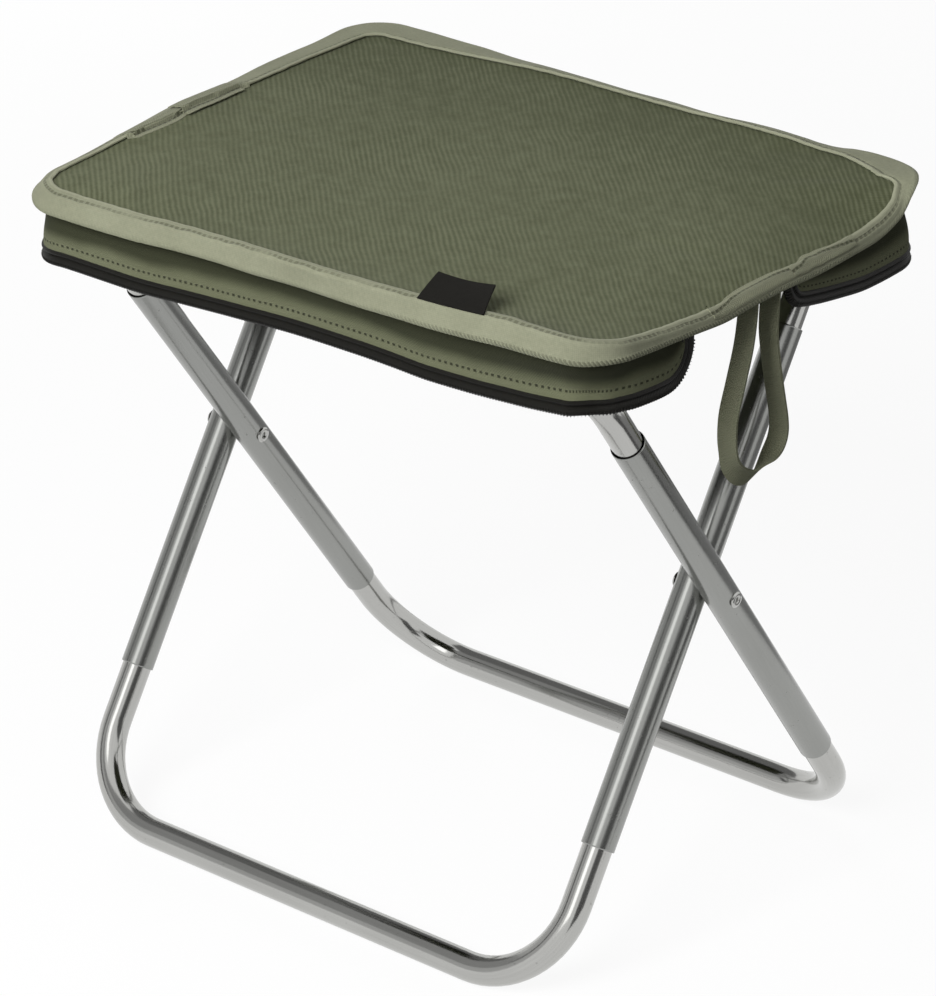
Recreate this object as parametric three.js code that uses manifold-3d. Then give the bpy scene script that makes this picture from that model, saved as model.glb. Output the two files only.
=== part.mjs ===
// Folding stool: two riveted tube frames that cross like scissors under a canvas seat, whose two
// halves close into a zipped pouch. Millimetres, +Z up, floor at z = 0, +Y to the back.
import * as THREE from "three";
import { mergeVertices } from "three/addons/utils/BufferGeometryUtils.js";
import Module from "manifold-3d";

const wasm = await Module();
wasm.setup();

// Tubes and sleeves
const TUBE_RADIUS = 7.15;
const TUBE_WALL = 1.1;
const SLEEVE_RADIUS = 8;
const SLEEVE_FIT = 0.25;
const TUBE_INSERTION = 40;
const BEND_RADIUS = 44;
const LEG_SPAN = 282.3;
const LEG_GAP = 0.3;
const FOOT_REACH = 198.7;
const SEAT_REACH = 189.4;
const SLEEVE_RISE = 125.2;
const BACK_SLEEVE_DROP = 126.5;
const FRONT_SLEEVE_DROP = 137.5;
const LEG_LEAN = THREE.MathUtils.degToRad(34.39);

// Rivets at the crossing
const RIVET_RADIUS = 2.4;
const RIVET_BORE_RADIUS = 1.3;
const RIVET_FIT = 0.3;
const RIVET_HEAD_RADIUS = 4.2;
const RIVET_HEAD_HEIGHT = 1.5;
const RIVET_SEAT = 0.15;

// Canvas seat
const SIDE_CLEARANCE = 0.95;
const END_CLEARANCE = 2.72;
const SEAT_CORNER_RADIUS = 27;
const SEAT_SQUARENESS = 8;
const FRAME_SHIFT_X = -5;
const FRAME_SHIFT_Y = -5;
const CANVAS_THICKNESS = 1.6;
const CLOTH_GAP = 0.3;
const TUNNEL_FIT = 0.25;
const TUNNEL_CLOTH = 0.8;
const TUNNEL_MARGIN = 3;
const CANVAS_LIFT = 0.9;
const SPINE_HALF_WIDTH = 24;
const SEAM_GAP = 0.3;

// How far the seat's edge stands over or under the level of its middle
const RIGHT_MIDDLE_RISE = -1.2;
const BACK_RIGHT_RISE = -1;
const BACK_MIDDLE_RISE = -1.2;
const BACK_LEFT_RISE = 0.3;
const LEFT_MIDDLE_RISE = -0.8;
const FRONT_LEFT_RISE = -0.5;
const FRONT_MIDDLE_RISE = 3.4;
const FRONT_RIGHT_RISE = 5;

// Binding round the seat's edge
const BINDING_THICKNESS = 2.4;
const BINDING_HEIGHT = 12;
const BINDING_STAND = 0.8;

// Pouch walls: a canvas skirt with a zip along its lower edge
const SKIRT_INSET = 5;
const SKIRT_THICKNESS = 1.6;
const SKIRT_DEPTH = 30;
const ZIP_INSET = 4;
const ZIP_THICKNESS = 3;
const ZIP_WIDTH = 11;
const ZIP_END_DEPTH = 9.5;
const FRONT_WALL_END = 54;
const FRONT_WALL_CURVE = 14;
const BACK_WALL_END = 25;
const BACK_WALL_CURVE = 14;

// Webbing over the ends of the spine
const PATCH_THICKNESS = 1.4;
const PATCH_FLANGE = 5;
const PATCH_FRONT_REACH = 40;
const PATCH_BACK_REACH = 34;

// Webbing loops that lift the spine
const LOOP_WIDTH = 10;
const LOOP_THICKNESS = 1.2;
const LOOP_LENGTH = 97.9;
const LOOP_BREADTH = 39.5;
const LOOP_CENTRE_Y = -1.4;

// Zip slider and its pull
const SLIDER_LENGTH = 9;
const SLIDER_WIDTH = 7;
const SLIDER_HEIGHT = 4.6;
const SLIDER_NOSE_SHARE = 0.6;
const EAR_THICKNESS = 0.9;
const PULL_LENGTH = 22;
const PULL_WIDTH = 5;
const PULL_THICKNESS = 1.2;
const PULL_EYE_RADIUS = 1.6;
const PULL_BORE_RADIUS = 0.9;
const PULL_FIT = 0.3;

// Blank label sewn in at the front edge
const LABEL_LENGTH = 36;
const LABEL_WIDTH = 16;
const LABEL_THICKNESS = 0.8;
const LABEL_LEFT_X = 73;
const LABEL_LIFT = 0.5;
const LABEL_SLOPE = THREE.MathUtils.degToRad(36);

// Facets
const TUBE_SIDES = 16;
const BORE_SIDES = 8;
const RIVET_SIDES = 16;
const PIN_SIDES = 12;
const BEND_STEPS = 8;
const CORNER_STEPS = 5;
const WALL_CURVE_STEPS = 6;
const EDGE_STEPS = 6;
const LOOP_STEPS = 44;
const CANVAS_COLUMN_SHARES = [-1, -0.96, -0.88, -0.74, -0.5, -0.2, 0.2, 0.5, 0.74, 0.88, 0.96, 1];
const CANVAS_ROW_SHARES = [0, 0.3, 0.6, 0.8, 0.92, 1];

// Derived places
const FOOT_APOTHEM = TUBE_RADIUS * Math.cos(Math.PI / TUBE_SIDES);
const PIVOT_HEIGHT = FOOT_REACH * Math.cos(LEG_LEAN) + FOOT_APOTHEM;
const LEG_OFFSET = SLEEVE_RADIUS + LEG_GAP / 2;
const BAR_HEIGHT = PIVOT_HEIGHT + SEAT_REACH * Math.cos(LEG_LEAN);
const BAR_OFFSET = SEAT_REACH * Math.sin(LEG_LEAN);
const TUNNEL_RADIUS = TUBE_RADIUS + TUNNEL_FIT + TUNNEL_CLOTH;
const WALL_INSET = SKIRT_INSET + SKIRT_THICKNESS;
const TUBES_HALF_LENGTH = LEG_SPAN / 2 + LEG_OFFSET + Math.abs(FRAME_SHIFT_X) + TUBE_RADIUS;
const TUBES_HALF_DEPTH = BAR_OFFSET + Math.abs(FRAME_SHIFT_Y) + TUNNEL_RADIUS;
const SEAT_LENGTH = 2 * (TUBES_HALF_LENGTH + SIDE_CLEARANCE + WALL_INSET);
const SEAT_DEPTH = 2 * (TUBES_HALF_DEPTH + END_CLEARANCE + WALL_INSET);
const CANVAS_BOTTOM = BAR_HEIGHT + TUNNEL_RADIUS + CANVAS_LIFT;
const CANVAS_TOP = CANVAS_BOTTOM + CANVAS_THICKNESS;
const CANVAS_INSET = BINDING_THICKNESS + CLOTH_GAP;
const SPINE_Y = FRAME_SHIFT_Y;
const ZIP_DEPTH = SKIRT_DEPTH + ZIP_WIDTH / 2;

const steel = { color: 0xb9b9b4, roughness: 0.22, metalness: 1 };
const satin = { color: 0x8d8f8a, roughness: 0.42, metalness: 1 };
const canvas = { color: 0x666952, roughness: 0.9, metalness: 0 };
const binding = { color: 0x9a9c84, roughness: 0.9, metalness: 0 };
const webbing = { color: 0x5c5d48, roughness: 0.9, metalness: 0 };
const black = { color: 0x1b1c19, roughness: 0.7, metalness: 0 };

function piece(name, geometry, finish) {
  const mesh = new THREE.Mesh(geometry, new THREE.MeshStandardMaterial(finish));
  mesh.name = name;
  return mesh;
}

function solidOf(geometry) {
  const bare = geometry.clone();
  bare.deleteAttribute("normal");
  bare.deleteAttribute("uv");
  const merged = mergeVertices(bare);
  const vertProperties = merged.attributes.position.array;
  const triVerts = new Uint32Array(merged.index.array);
  return new wasm.Manifold(new wasm.Mesh({ numProp: 3, vertProperties, triVerts }));
}

function geometryOf(solid) {
  const { vertProperties, triVerts } = solid.getMesh();
  const geometry = new THREE.BufferGeometry();
  geometry.setAttribute("position", new THREE.BufferAttribute(vertProperties, 3));
  geometry.setIndex(new THREE.BufferAttribute(triVerts, 1));
  return geometry;
}

function polygon(radius, sides, turn) {
  const points = [];
  for (let k = 0; k < sides; k++) {
    const angle = turn + ((k + 0.5) * 2 * Math.PI) / sides;
    points.push(new THREE.Vector2(radius * Math.cos(angle), radius * Math.sin(angle)));
  }
  return points;
}

function ring(outerRadius, outerSides, innerRadius, innerSides, turn) {
  const shape = new THREE.Shape(polygon(outerRadius, outerSides, turn));
  shape.holes.push(new THREE.Path(polygon(innerRadius, innerSides, turn)));
  return shape;
}

// A route given by its stations, each with its place, its direction and the section's first axis
class StationCurve extends THREE.Curve {
  constructor(stations) {
    super();
    this.stations = stations;
  }

  getUtoTmapping(share) {
    return share;
  }

  getPoint(share) {
    const last = this.stations.length - 1;
    return this.stations[Math.round(share * last)].place.clone();
  }

  computeFrenetFrames() {
    const tangents = this.stations.map((station) => station.along.clone());
    const normals = this.stations.map((station) => station.side.clone());
    const binormals = this.stations.map((station) =>
      new THREE.Vector3().crossVectors(station.along, station.side));
    return { tangents, normals, binormals };
  }
}

function sweep(shape, stations) {
  const extrudePath = new StationCurve(stations);
  return new THREE.ExtrudeGeometry(shape, { steps: stations.length - 1, extrudePath });
}

// A closed skin through sections that have as many points each, an upper row and a lower row back
function loft(sections) {
  const count = sections[0].length;
  const positions = sections.flat().flatMap((point) => point.toArray());
  const faces = [];
  for (let row = 0; row + 1 < sections.length; row++) {
    for (let k = 0; k < count; k++) {
      const a = row * count + k;
      const b = row * count + ((k + 1) % count);
      faces.push(a, b, b + count, a, b + count, a + count);
    }
  }
  const last = (sections.length - 1) * count;
  for (let k = 0; k + 1 < count / 2; k++) {
    const opposite = count - 1 - k;
    faces.push(k, opposite, opposite - 1, k, opposite - 1, k + 1);
    faces.push(last + k, last + opposite - 1, last + opposite, last + k, last + k + 1, last + opposite - 1);
  }
  const geometry = new THREE.BufferGeometry();
  geometry.setAttribute("position", new THREE.Float32BufferAttribute(positions, 3));
  geometry.setIndex(faces);
  return solidOf(geometry).volume() < 0 ? turnedOut(geometry, faces) : geometry;
}

function turnedOut(geometry, faces) {
  geometry.setIndex(faces.slice().reverse());
  return geometry;
}

// The route of a U-shaped tube in its frame's plane; rising is 1 for a tube over the pivot, -1 under it
function tubeStations(rising, startReach, barReach) {
  const side = new THREE.Vector3(0, 1, 0);
  const halfSpan = LEG_SPAN / 2;
  const bendReach = barReach - BEND_RADIUS;
  const stations = [{ place: new THREE.Vector3(-halfSpan, 0, rising * startReach),
    along: new THREE.Vector3(0, 0, rising), side }];
  for (let step = 0; step <= BEND_STEPS; step++) {
    const angle = (step / BEND_STEPS) * (Math.PI / 2);
    const inward = BEND_RADIUS * (1 - Math.cos(angle));
    const outward = BEND_RADIUS * Math.sin(angle);
    stations.push({ place: new THREE.Vector3(-halfSpan + inward, 0, rising * (bendReach + outward)),
      along: new THREE.Vector3(Math.sin(angle), 0, rising * Math.cos(angle)), side });
  }
  const otherLeg = stations.map(({ place, along }) => ({
    place: new THREE.Vector3(-place.x, 0, place.z),
    along: new THREE.Vector3(along.x, 0, -along.z), side }));
  return stations.concat(otherLeg.reverse());
}

// Turned so that one facet of the foot bar lies flat on the floor
const FOOT_FACET_TURN = LEG_LEAN - Math.PI / 2;

function bentTube(name, rising, startReach, barReach) {
  const boreRadius = TUBE_RADIUS - TUBE_WALL;
  const section = ring(TUBE_RADIUS, TUBE_SIDES, boreRadius, BORE_SIDES, FOOT_FACET_TURN);
  return piece(name, sweep(section, tubeStations(rising, startReach, barReach)), steel);
}

function rivetHole() {
  const radius = RIVET_RADIUS + RIVET_FIT;
  const hole = new THREE.CylinderGeometry(radius, radius, 4 * SLEEVE_RADIUS, RIVET_SIDES);
  return hole.rotateZ(Math.PI / 2);
}

function sleeve(name, x, drop) {
  const bore = TUBE_RADIUS + SLEEVE_FIT;
  const section = ring(SLEEVE_RADIUS, TUBE_SIDES, bore, TUBE_SIDES, FOOT_FACET_TURN);
  const tube = new THREE.ExtrudeGeometry(section, { depth: drop + SLEEVE_RISE, bevelEnabled: false });
  tube.translate(0, 0, -drop);
  const mesh = piece(name, geometryOf(solidOf(tube).subtract(solidOf(rivetHole()))), satin);
  mesh.position.x = x;
  return mesh;
}

function rivet(name, x) {
  const seat = 2 * SLEEVE_RADIUS + LEG_GAP / 2 + RIVET_SEAT;
  const tip = seat + RIVET_HEAD_HEIGHT;
  const rim = seat + RIVET_HEAD_HEIGHT / 3;
  const crown = (RIVET_HEAD_RADIUS + RIVET_BORE_RADIUS) / 2;
  const half = [[RIVET_RADIUS, seat], [RIVET_HEAD_RADIUS, seat], [RIVET_HEAD_RADIUS, rim],
    [crown, tip], [RIVET_BORE_RADIUS, tip]];
  const profile = half.concat(half.map(([radius, along]) => [radius, -along]).reverse());
  profile.push(profile[0]);
  const points = profile.map(([radius, along]) => new THREE.Vector2(radius, along));
  const geometry = new THREE.LatheGeometry(points, RIVET_SIDES).rotateZ(Math.PI / 2);
  const mesh = piece(name, geometry, steel);
  mesh.position.set(x, 0, PIVOT_HEIGHT);
  return mesh;
}

function barTunnel(name) {
  const straight = LEG_SPAN - 2 * BEND_RADIUS - 2 * TUNNEL_MARGIN;
  const section = ring(TUNNEL_RADIUS, TUBE_SIDES, TUBE_RADIUS + TUNNEL_FIT, TUBE_SIDES, 0);
  const tube = new THREE.ExtrudeGeometry(section, { depth: straight, bevelEnabled: false });
  const mesh = piece(name, tube.translate(0, 0, -straight / 2).rotateY(Math.PI / 2), canvas);
  mesh.position.z = SEAT_REACH;
  return mesh;
}

// One tube frame in its own plane: two sleeves, the tube that carries the seat and the foot tube
function tubeFrame(names, drop) {
  const frame = new THREE.Group();
  frame.add(sleeve(names.outerSleeve, -LEG_SPAN / 2, drop));
  frame.add(sleeve(names.innerSleeve, LEG_SPAN / 2, drop));
  frame.add(bentTube(names.upperTube, 1, SLEEVE_RISE - TUBE_INSERTION, SEAT_REACH));
  frame.add(bentTube(names.footTube, -1, drop - TUBE_INSERTION, FOOT_REACH));
  frame.add(barTunnel(names.tunnel));
  frame.position.set(-LEG_OFFSET, 0, PIVOT_HEIGHT);
  frame.rotation.x = -LEG_LEAN;
  return frame;
}

// How far the seat's edge rises at an angle round its middle, smoothed between eight places
function edgeRise(angle) {
  const rises = [RIGHT_MIDDLE_RISE, BACK_RIGHT_RISE, BACK_MIDDLE_RISE, BACK_LEFT_RISE,
    LEFT_MIDDLE_RISE, FRONT_LEFT_RISE, FRONT_MIDDLE_RISE, FRONT_RIGHT_RISE];
  const turns = ((angle / (2 * Math.PI)) * rises.length + rises.length) % rises.length;
  const before = Math.floor(turns) % rises.length;
  const blend = 0.5 - 0.5 * Math.cos((turns - Math.floor(turns)) * Math.PI);
  return THREE.MathUtils.lerp(rises[before], rises[(before + 1) % rises.length], blend);
}

// The canvas is level in the middle and leaves that level towards its edge
function surfaceRise(x, y) {
  const across = x / (SEAT_LENGTH / 2);
  const along = y / (SEAT_DEPTH / 2);
  const edgeShare = Math.min(1, Math.sqrt(across ** SEAT_SQUARENESS + along ** SEAT_SQUARENESS));
  return edgeShare * edgeRise(Math.atan2(along, across));
}

// Half the canvas's width at a place y along the seat, less where its corners are round
function canvasHalfWidth(y) {
  const half = SEAT_LENGTH / 2 - CANVAS_INSET;
  const radius = SEAT_CORNER_RADIUS - CANVAS_INSET;
  const straight = SEAT_DEPTH / 2 - SEAT_CORNER_RADIUS;
  const past = Math.max(0, Math.abs(y) - straight);
  return half - radius + Math.sqrt(Math.max(0, radius ** 2 - past ** 2));
}

function canvasPiece(name, rows) {
  const sections = rows.map((y) => {
    const half = canvasHalfWidth(y);
    const top = CANVAS_COLUMN_SHARES.map((share) => {
      const x = share * half;
      return new THREE.Vector3(x, y, CANVAS_TOP + surfaceRise(x, y));
    });
    const under = top.map(({ x, z }) => new THREE.Vector3(x, y, z - CANVAS_THICKNESS));
    return top.concat(under.reverse());
  });
  return piece(name, loft(sections), canvas);
}

// Rows of a seat half from the spine outwards; facing is 1 for the back half and -1 for the front
function halfRows(facing) {
  const start = SPINE_Y + facing * (SPINE_HALF_WIDTH + SEAM_GAP);
  const straight = facing * (SEAT_DEPTH / 2 - SEAT_CORNER_RADIUS);
  const rows = CANVAS_ROW_SHARES.map((share) => THREE.MathUtils.lerp(start, straight, share));
  for (let step = 1; step <= CORNER_STEPS; step++) {
    const angle = (step / CORNER_STEPS) * (Math.PI / 2);
    rows.push(straight + facing * (SEAT_CORNER_RADIUS - CANVAS_INSET) * Math.sin(angle));
  }
  return rows;
}

// Stations along a half's outline at an inset: from the spine on the right, round, to the left
function outlineStations(facing, inset, sidePlaces) {
  const halfLength = SEAT_LENGTH / 2;
  const radius = SEAT_CORNER_RADIUS - inset;
  const straightX = halfLength - SEAT_CORNER_RADIUS;
  const straightY = facing * (SEAT_DEPTH / 2 - SEAT_CORNER_RADIUS);
  const last = sidePlaces[sidePlaces.length - 1];
  const between = [(2 * last + straightY) / 3, (last + 2 * straightY) / 3];
  const right = sidePlaces.concat(between).map((y) => ({ x: halfLength - inset, y, outX: 1, outY: 0 }));
  for (let step = 0; step <= CORNER_STEPS; step++) {
    const angle = (step / CORNER_STEPS) * (Math.PI / 2);
    right.push({ x: straightX + radius * Math.cos(angle),
      y: straightY + facing * radius * Math.sin(angle),
      outX: Math.cos(angle), outY: facing * Math.sin(angle) });
  }
  for (let step = 1; step < EDGE_STEPS; step++) {
    right.push({ x: straightX * (1 - step / EDGE_STEPS), y: straightY + facing * radius,
      outX: 0, outY: facing });
  }
  const left = right.map((station) => ({ ...station, x: -station.x, outX: -station.outX }));
  const middle = { x: 0, y: straightY + facing * radius, outX: 0, outY: facing };
  return right.concat([middle], left.reverse());
}

function edgeTop(station) {
  const across = station.x / (SEAT_LENGTH / 2);
  const along = station.y / (SEAT_DEPTH / 2);
  return CANVAS_TOP + edgeRise(Math.atan2(along, across));
}

function wallPoint(station, inward, z) {
  return new THREE.Vector3(station.x - inward * station.outX, station.y - inward * station.outY, z);
}

function bindingSection(station) {
  const top = edgeTop(station) + BINDING_STAND;
  const low = top - BINDING_HEIGHT;
  return [wallPoint(station, 0, top), wallPoint(station, BINDING_THICKNESS, top),
    wallPoint(station, BINDING_THICKNESS, low), wallPoint(station, 0, low)];
}

function halfBinding(name, facing) {
  const start = SPINE_Y + facing * (SPINE_HALF_WIDTH + SEAM_GAP);
  return piece(name, loft(outlineStations(facing, 0, [start]).map(bindingSection)), binding);
}

function sideStation(sideways, inset, y) {
  return { x: sideways * (SEAT_LENGTH / 2 - inset), y, outX: sideways, outY: 0 };
}

function spineBinding(name, sideways) {
  const places = [SPINE_Y - SPINE_HALF_WIDTH, SPINE_Y, SPINE_Y + SPINE_HALF_WIDTH];
  return piece(name, loft(places.map((y) => bindingSection(sideStation(sideways, 0, y)))), binding);
}

// Places along a side wall, close together where its end curves up to the binding
function wallPlaces(facing, wallEnd, curve, startShift) {
  const places = [];
  for (let step = 0; step <= WALL_CURVE_STEPS; step++) {
    const angle = (step / WALL_CURVE_STEPS) * (Math.PI / 2);
    const past = startShift + (curve - startShift) * (1 - Math.cos(angle));
    places.push(SPINE_Y + facing * (wallEnd + past));
  }
  return places;
}

// The skirt's depth at a distance from the wall's end, inside the curve of the zip
function skirtDepth(distance, curve) {
  const radius = curve - ZIP_WIDTH / 2 - CLOTH_GAP;
  const short = Math.max(0, Math.min(radius, curve - distance));
  return ZIP_DEPTH - curve + Math.sqrt(radius ** 2 - short ** 2);
}

function skirt(name, facing, wallEnd, curve) {
  const shift = ZIP_WIDTH / 2 + CLOTH_GAP;
  const places = wallPlaces(facing, wallEnd, curve, shift);
  const sections = outlineStations(facing, SKIRT_INSET, places).map((station) => {
    const onSide = Math.abs(station.outY) === 0;
    const distance = onSide ? Math.abs(station.y - SPINE_Y) - wallEnd : curve;
    const low = edgeTop(station) - skirtDepth(distance, curve);
    const outer = wallPoint(station, 0, 0);
    const inner = wallPoint(station, SKIRT_THICKNESS, 0);
    const topOf = ({ x, y }) => CANVAS_BOTTOM + surfaceRise(x, y) - CLOTH_GAP;
    return [outer.clone().setZ(topOf(outer)), inner.clone().setZ(topOf(inner)),
      inner.clone().setZ(low), outer.clone().setZ(low)];
  });
  return piece(name, loft(sections), canvas);
}

// The zip's band stands square to its route, which turns up to the binding at the wall's ends
function zipSection(station, wallEnd, curve, facing) {
  const onSide = Math.abs(station.outY) === 0;
  const short = onSide ? Math.max(0, curve - (Math.abs(station.y - SPINE_Y) - wallEnd)) : 0;
  const sine = Math.min(1, short / curve);
  const cosine = Math.sqrt(1 - sine ** 2);
  const centreZ = edgeTop(station) - ZIP_DEPTH + curve * (1 - cosine);
  const across = new THREE.Vector3(0, facing * sine, cosine).multiplyScalar(ZIP_WIDTH / 2);
  const outer = wallPoint(station, 0, centreZ);
  const inner = wallPoint(station, ZIP_THICKNESS, centreZ);
  return [outer.clone().add(across), inner.clone().add(across),
    inner.clone().sub(across), outer.clone().sub(across)];
}

function zip(name, facing, wallEnd, curve) {
  const places = wallPlaces(facing, wallEnd, curve, 0);
  const stations = outlineStations(facing, ZIP_INSET, places);
  const sections = stations.map((station) => zipSection(station, wallEnd, curve, facing));
  const ends = [0, sections.length - 1].map((index) => {
    const rise = ZIP_DEPTH - curve - ZIP_END_DEPTH;
    return sections[index].map((point) => point.clone().setZ(point.z + rise));
  });
  return piece(name, loft([ends[0], ...sections, ends[1]]), black);
}

// Webbing folded over the binding: down its outer face and a little way onto the canvas
function spinePatch(name, sideways) {
  const places = [-PATCH_FRONT_REACH, -SPINE_HALF_WIDTH, 0, SPINE_HALF_WIDTH, PATCH_BACK_REACH];
  const sections = places.map((place) => {
    const station = sideStation(sideways, 0, SPINE_Y + place);
    const under = edgeTop(station) + BINDING_STAND + CLOTH_GAP;
    const over = under + PATCH_THICKNESS;
    const low = under - CLOTH_GAP - BINDING_HEIGHT;
    const skin = CLOTH_GAP + PATCH_THICKNESS;
    return [wallPoint(station, -skin, low), wallPoint(station, -skin, over),
      wallPoint(station, PATCH_FLANGE, over), wallPoint(station, PATCH_FLANGE, under),
      wallPoint(station, -CLOTH_GAP, under), wallPoint(station, -CLOTH_GAP, low)];
  });
  return piece(name, loft(sections), webbing);
}

// Shares of the loop's half breadth and of its length, down one strand and up the other
const LOOP_ROUTE_SHARES = [[-0.23, 0], [-0.26, 0.17], [-0.4, 0.325], [-0.69, 0.49], [-0.93, 0.62],
  [-0.99, 0.725], [-0.94, 0.815], [-0.78, 0.9], [-0.49, 0.965], [-0.13, 1], [0.22, 0.99], [0.58, 0.96],
  [0.88, 0.91], [1, 0.85], [0.98, 0.775], [0.88, 0.683], [0.74, 0.56], [0.62, 0.438], [0.54, 0.316],
  [0.58, 0.17], [0.65, 0]];

function pullLoop(name, sideways) {
  const gapInset = BINDING_THICKNESS + CLOTH_GAP + LOOP_WIDTH / 2;
  const x = sideways * (SEAT_LENGTH / 2 - gapInset);
  const lowestRise = Math.min(RIGHT_MIDDLE_RISE, LEFT_MIDDLE_RISE);
  const top = CANVAS_BOTTOM + lowestRise - CLOTH_GAP;
  const route = new THREE.CatmullRomCurve3(LOOP_ROUTE_SHARES.map(([aside, down]) =>
    new THREE.Vector3(x, SPINE_Y + LOOP_CENTRE_Y + (aside * LOOP_BREADTH) / 2,
      top - down * LOOP_LENGTH)));
  const side = new THREE.Vector3(1, 0, 0);
  const stations = route.getSpacedPoints(LOOP_STEPS).map((place, step) =>
    ({ place, along: route.getTangentAt(step / LOOP_STEPS), side }));
  const halfWidth = LOOP_WIDTH / 2;
  const halfThickness = LOOP_THICKNESS / 2;
  const section = new THREE.Shape([new THREE.Vector2(-halfWidth, -halfThickness),
    new THREE.Vector2(halfWidth, -halfThickness), new THREE.Vector2(halfWidth, halfThickness),
    new THREE.Vector2(-halfWidth, halfThickness)]);
  return piece(name, sweep(section, stations), webbing);
}

// The slider parks under the left end of the back zip
const SLIDER_PLACE = SPINE_Y + BACK_WALL_END + BACK_WALL_CURVE + SLIDER_LENGTH;

function sliderSeat() {
  const station = sideStation(-1, ZIP_INSET + ZIP_THICKNESS / 2, SLIDER_PLACE);
  const top = edgeTop(station) - SKIRT_DEPTH - ZIP_WIDTH - CLOTH_GAP;
  return new THREE.Vector3(station.x, station.y, top);
}

const PULL_ASIDE = SLIDER_WIDTH / 2 + PULL_EYE_RADIUS + PULL_FIT;

function crossPin(radius, length) {
  return new THREE.CylinderGeometry(radius, radius, length, PIN_SIDES);
}

function zipSlider() {
  const half = SLIDER_WIDTH / 2;
  const nose = half * SLIDER_NOSE_SHARE;
  const outline = new THREE.Shape([new THREE.Vector2(-nose, 0), new THREE.Vector2(nose, 0),
    new THREE.Vector2(half, SLIDER_LENGTH / 3), new THREE.Vector2(half, SLIDER_LENGTH),
    new THREE.Vector2(-half, SLIDER_LENGTH), new THREE.Vector2(-half, SLIDER_LENGTH / 3)]);
  const body = new THREE.ExtrudeGeometry(outline, { depth: SLIDER_HEIGHT, bevelEnabled: false });
  let solid = solidOf(body.translate(0, -SLIDER_LENGTH / 2, -SLIDER_HEIGHT));
  const earY = PULL_WIDTH / 2 + PULL_FIT + EAR_THICKNESS / 2;
  const earLength = PULL_ASIDE + PULL_EYE_RADIUS;
  for (const side of [-1, 1]) {
    const ear = new THREE.BoxGeometry(earLength, EAR_THICKNESS, 2 * PULL_EYE_RADIUS);
    solid = solid.add(solidOf(ear.translate(-earLength / 2, side * earY, -SLIDER_HEIGHT / 2)));
  }
  const pin = crossPin(PULL_BORE_RADIUS - PULL_FIT, 2 * earY);
  solid = solid.add(solidOf(pin.translate(-PULL_ASIDE, 0, -SLIDER_HEIGHT / 2)));
  const mesh = piece("zip_slider", geometryOf(solid), black);
  mesh.position.copy(sliderSeat());
  return mesh;
}

function zipPull() {
  const plate = new THREE.BoxGeometry(PULL_THICKNESS, PULL_WIDTH, PULL_LENGTH);
  const eye = solidOf(crossPin(PULL_EYE_RADIUS, PULL_WIDTH));
  const joined = solidOf(plate.translate(0, 0, -PULL_LENGTH / 2)).add(eye);
  const bored = joined.subtract(solidOf(crossPin(PULL_BORE_RADIUS, 2 * PULL_WIDTH)));
  const mesh = piece("zip_pull", geometryOf(bored), black);
  mesh.position.copy(sliderSeat()).add(new THREE.Vector3(-PULL_ASIDE, 0, -SLIDER_HEIGHT / 2));
  return mesh;
}

// The label is sewn in where the canvas meets the front binding and stands up from the canvas
function label() {
  const seamY = -(SEAT_DEPTH / 2 - CANVAS_INSET - LABEL_THICKNESS);
  const middleX = LABEL_LEFT_X + LABEL_LENGTH / 2;
  const geometry = new THREE.BoxGeometry(LABEL_LENGTH, LABEL_WIDTH, LABEL_THICKNESS);
  geometry.translate(0, LABEL_WIDTH / 2, LABEL_THICKNESS / 2).rotateX(LABEL_SLOPE);
  const mesh = piece("label", geometry, black);
  const edge = Math.max(surfaceRise(LABEL_LEFT_X, seamY), surfaceRise(LABEL_LEFT_X + LABEL_LENGTH, seamY));
  mesh.position.set(middleX, seamY, CANVAS_TOP + edge + LABEL_LIFT);
  return mesh;
}

function frames() {
  const both = new THREE.Group();
  both.add(tubeFrame({ outerSleeve: "back_left_sleeve", innerSleeve: "back_right_sleeve",
    upperTube: "back_seat_tube", footTube: "front_foot_tube", tunnel: "back_tunnel" }, BACK_SLEEVE_DROP));
  const turned = new THREE.Group();
  turned.add(tubeFrame({ outerSleeve: "front_right_sleeve", innerSleeve: "front_left_sleeve",
    upperTube: "front_seat_tube", footTube: "back_foot_tube", tunnel: "front_tunnel" }, FRONT_SLEEVE_DROP));
  turned.rotation.z = Math.PI;
  both.add(turned);
  both.add(rivet("left_rivet", -LEG_SPAN / 2));
  both.add(rivet("right_rivet", LEG_SPAN / 2));
  both.position.set(FRAME_SHIFT_X, FRAME_SHIFT_Y, 0);
  return both;
}

function seat() {
  const group = new THREE.Group();
  group.add(canvasPiece("back_canvas", halfRows(1)));
  group.add(canvasPiece("front_canvas", halfRows(-1)));
  group.add(canvasPiece("spine_canvas", [SPINE_Y - SPINE_HALF_WIDTH, SPINE_Y, SPINE_Y + SPINE_HALF_WIDTH]));
  group.add(halfBinding("back_binding", 1));
  group.add(halfBinding("front_binding", -1));
  group.add(skirt("back_skirt", 1, BACK_WALL_END, BACK_WALL_CURVE));
  group.add(skirt("front_skirt", -1, FRONT_WALL_END, FRONT_WALL_CURVE));
  group.add(zip("back_zip", 1, BACK_WALL_END, BACK_WALL_CURVE));
  group.add(zip("front_zip", -1, FRONT_WALL_END, FRONT_WALL_CURVE));
  for (const [sideName, sideways] of [["left", -1], ["right", 1]]) {
    group.add(spineBinding(sideName + "_spine_binding", sideways));
    group.add(spinePatch(sideName + "_spine_patch", sideways));
    group.add(pullLoop(sideName + "_pull_loop", sideways));
  }
  group.add(zipSlider());
  group.add(zipPull());
  group.add(label());
  return group;
}

const part = new THREE.Group();
part.add(frames());
part.add(seat());
export default part;
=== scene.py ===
"""Finishes the folding stool: cloth, tape, zips, tubes and the studio. Metres, +Z up."""
from math import atan2, copysign, cos, degrees, dist, exp, hypot, pi, radians, sin, sqrt, tan

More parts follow.
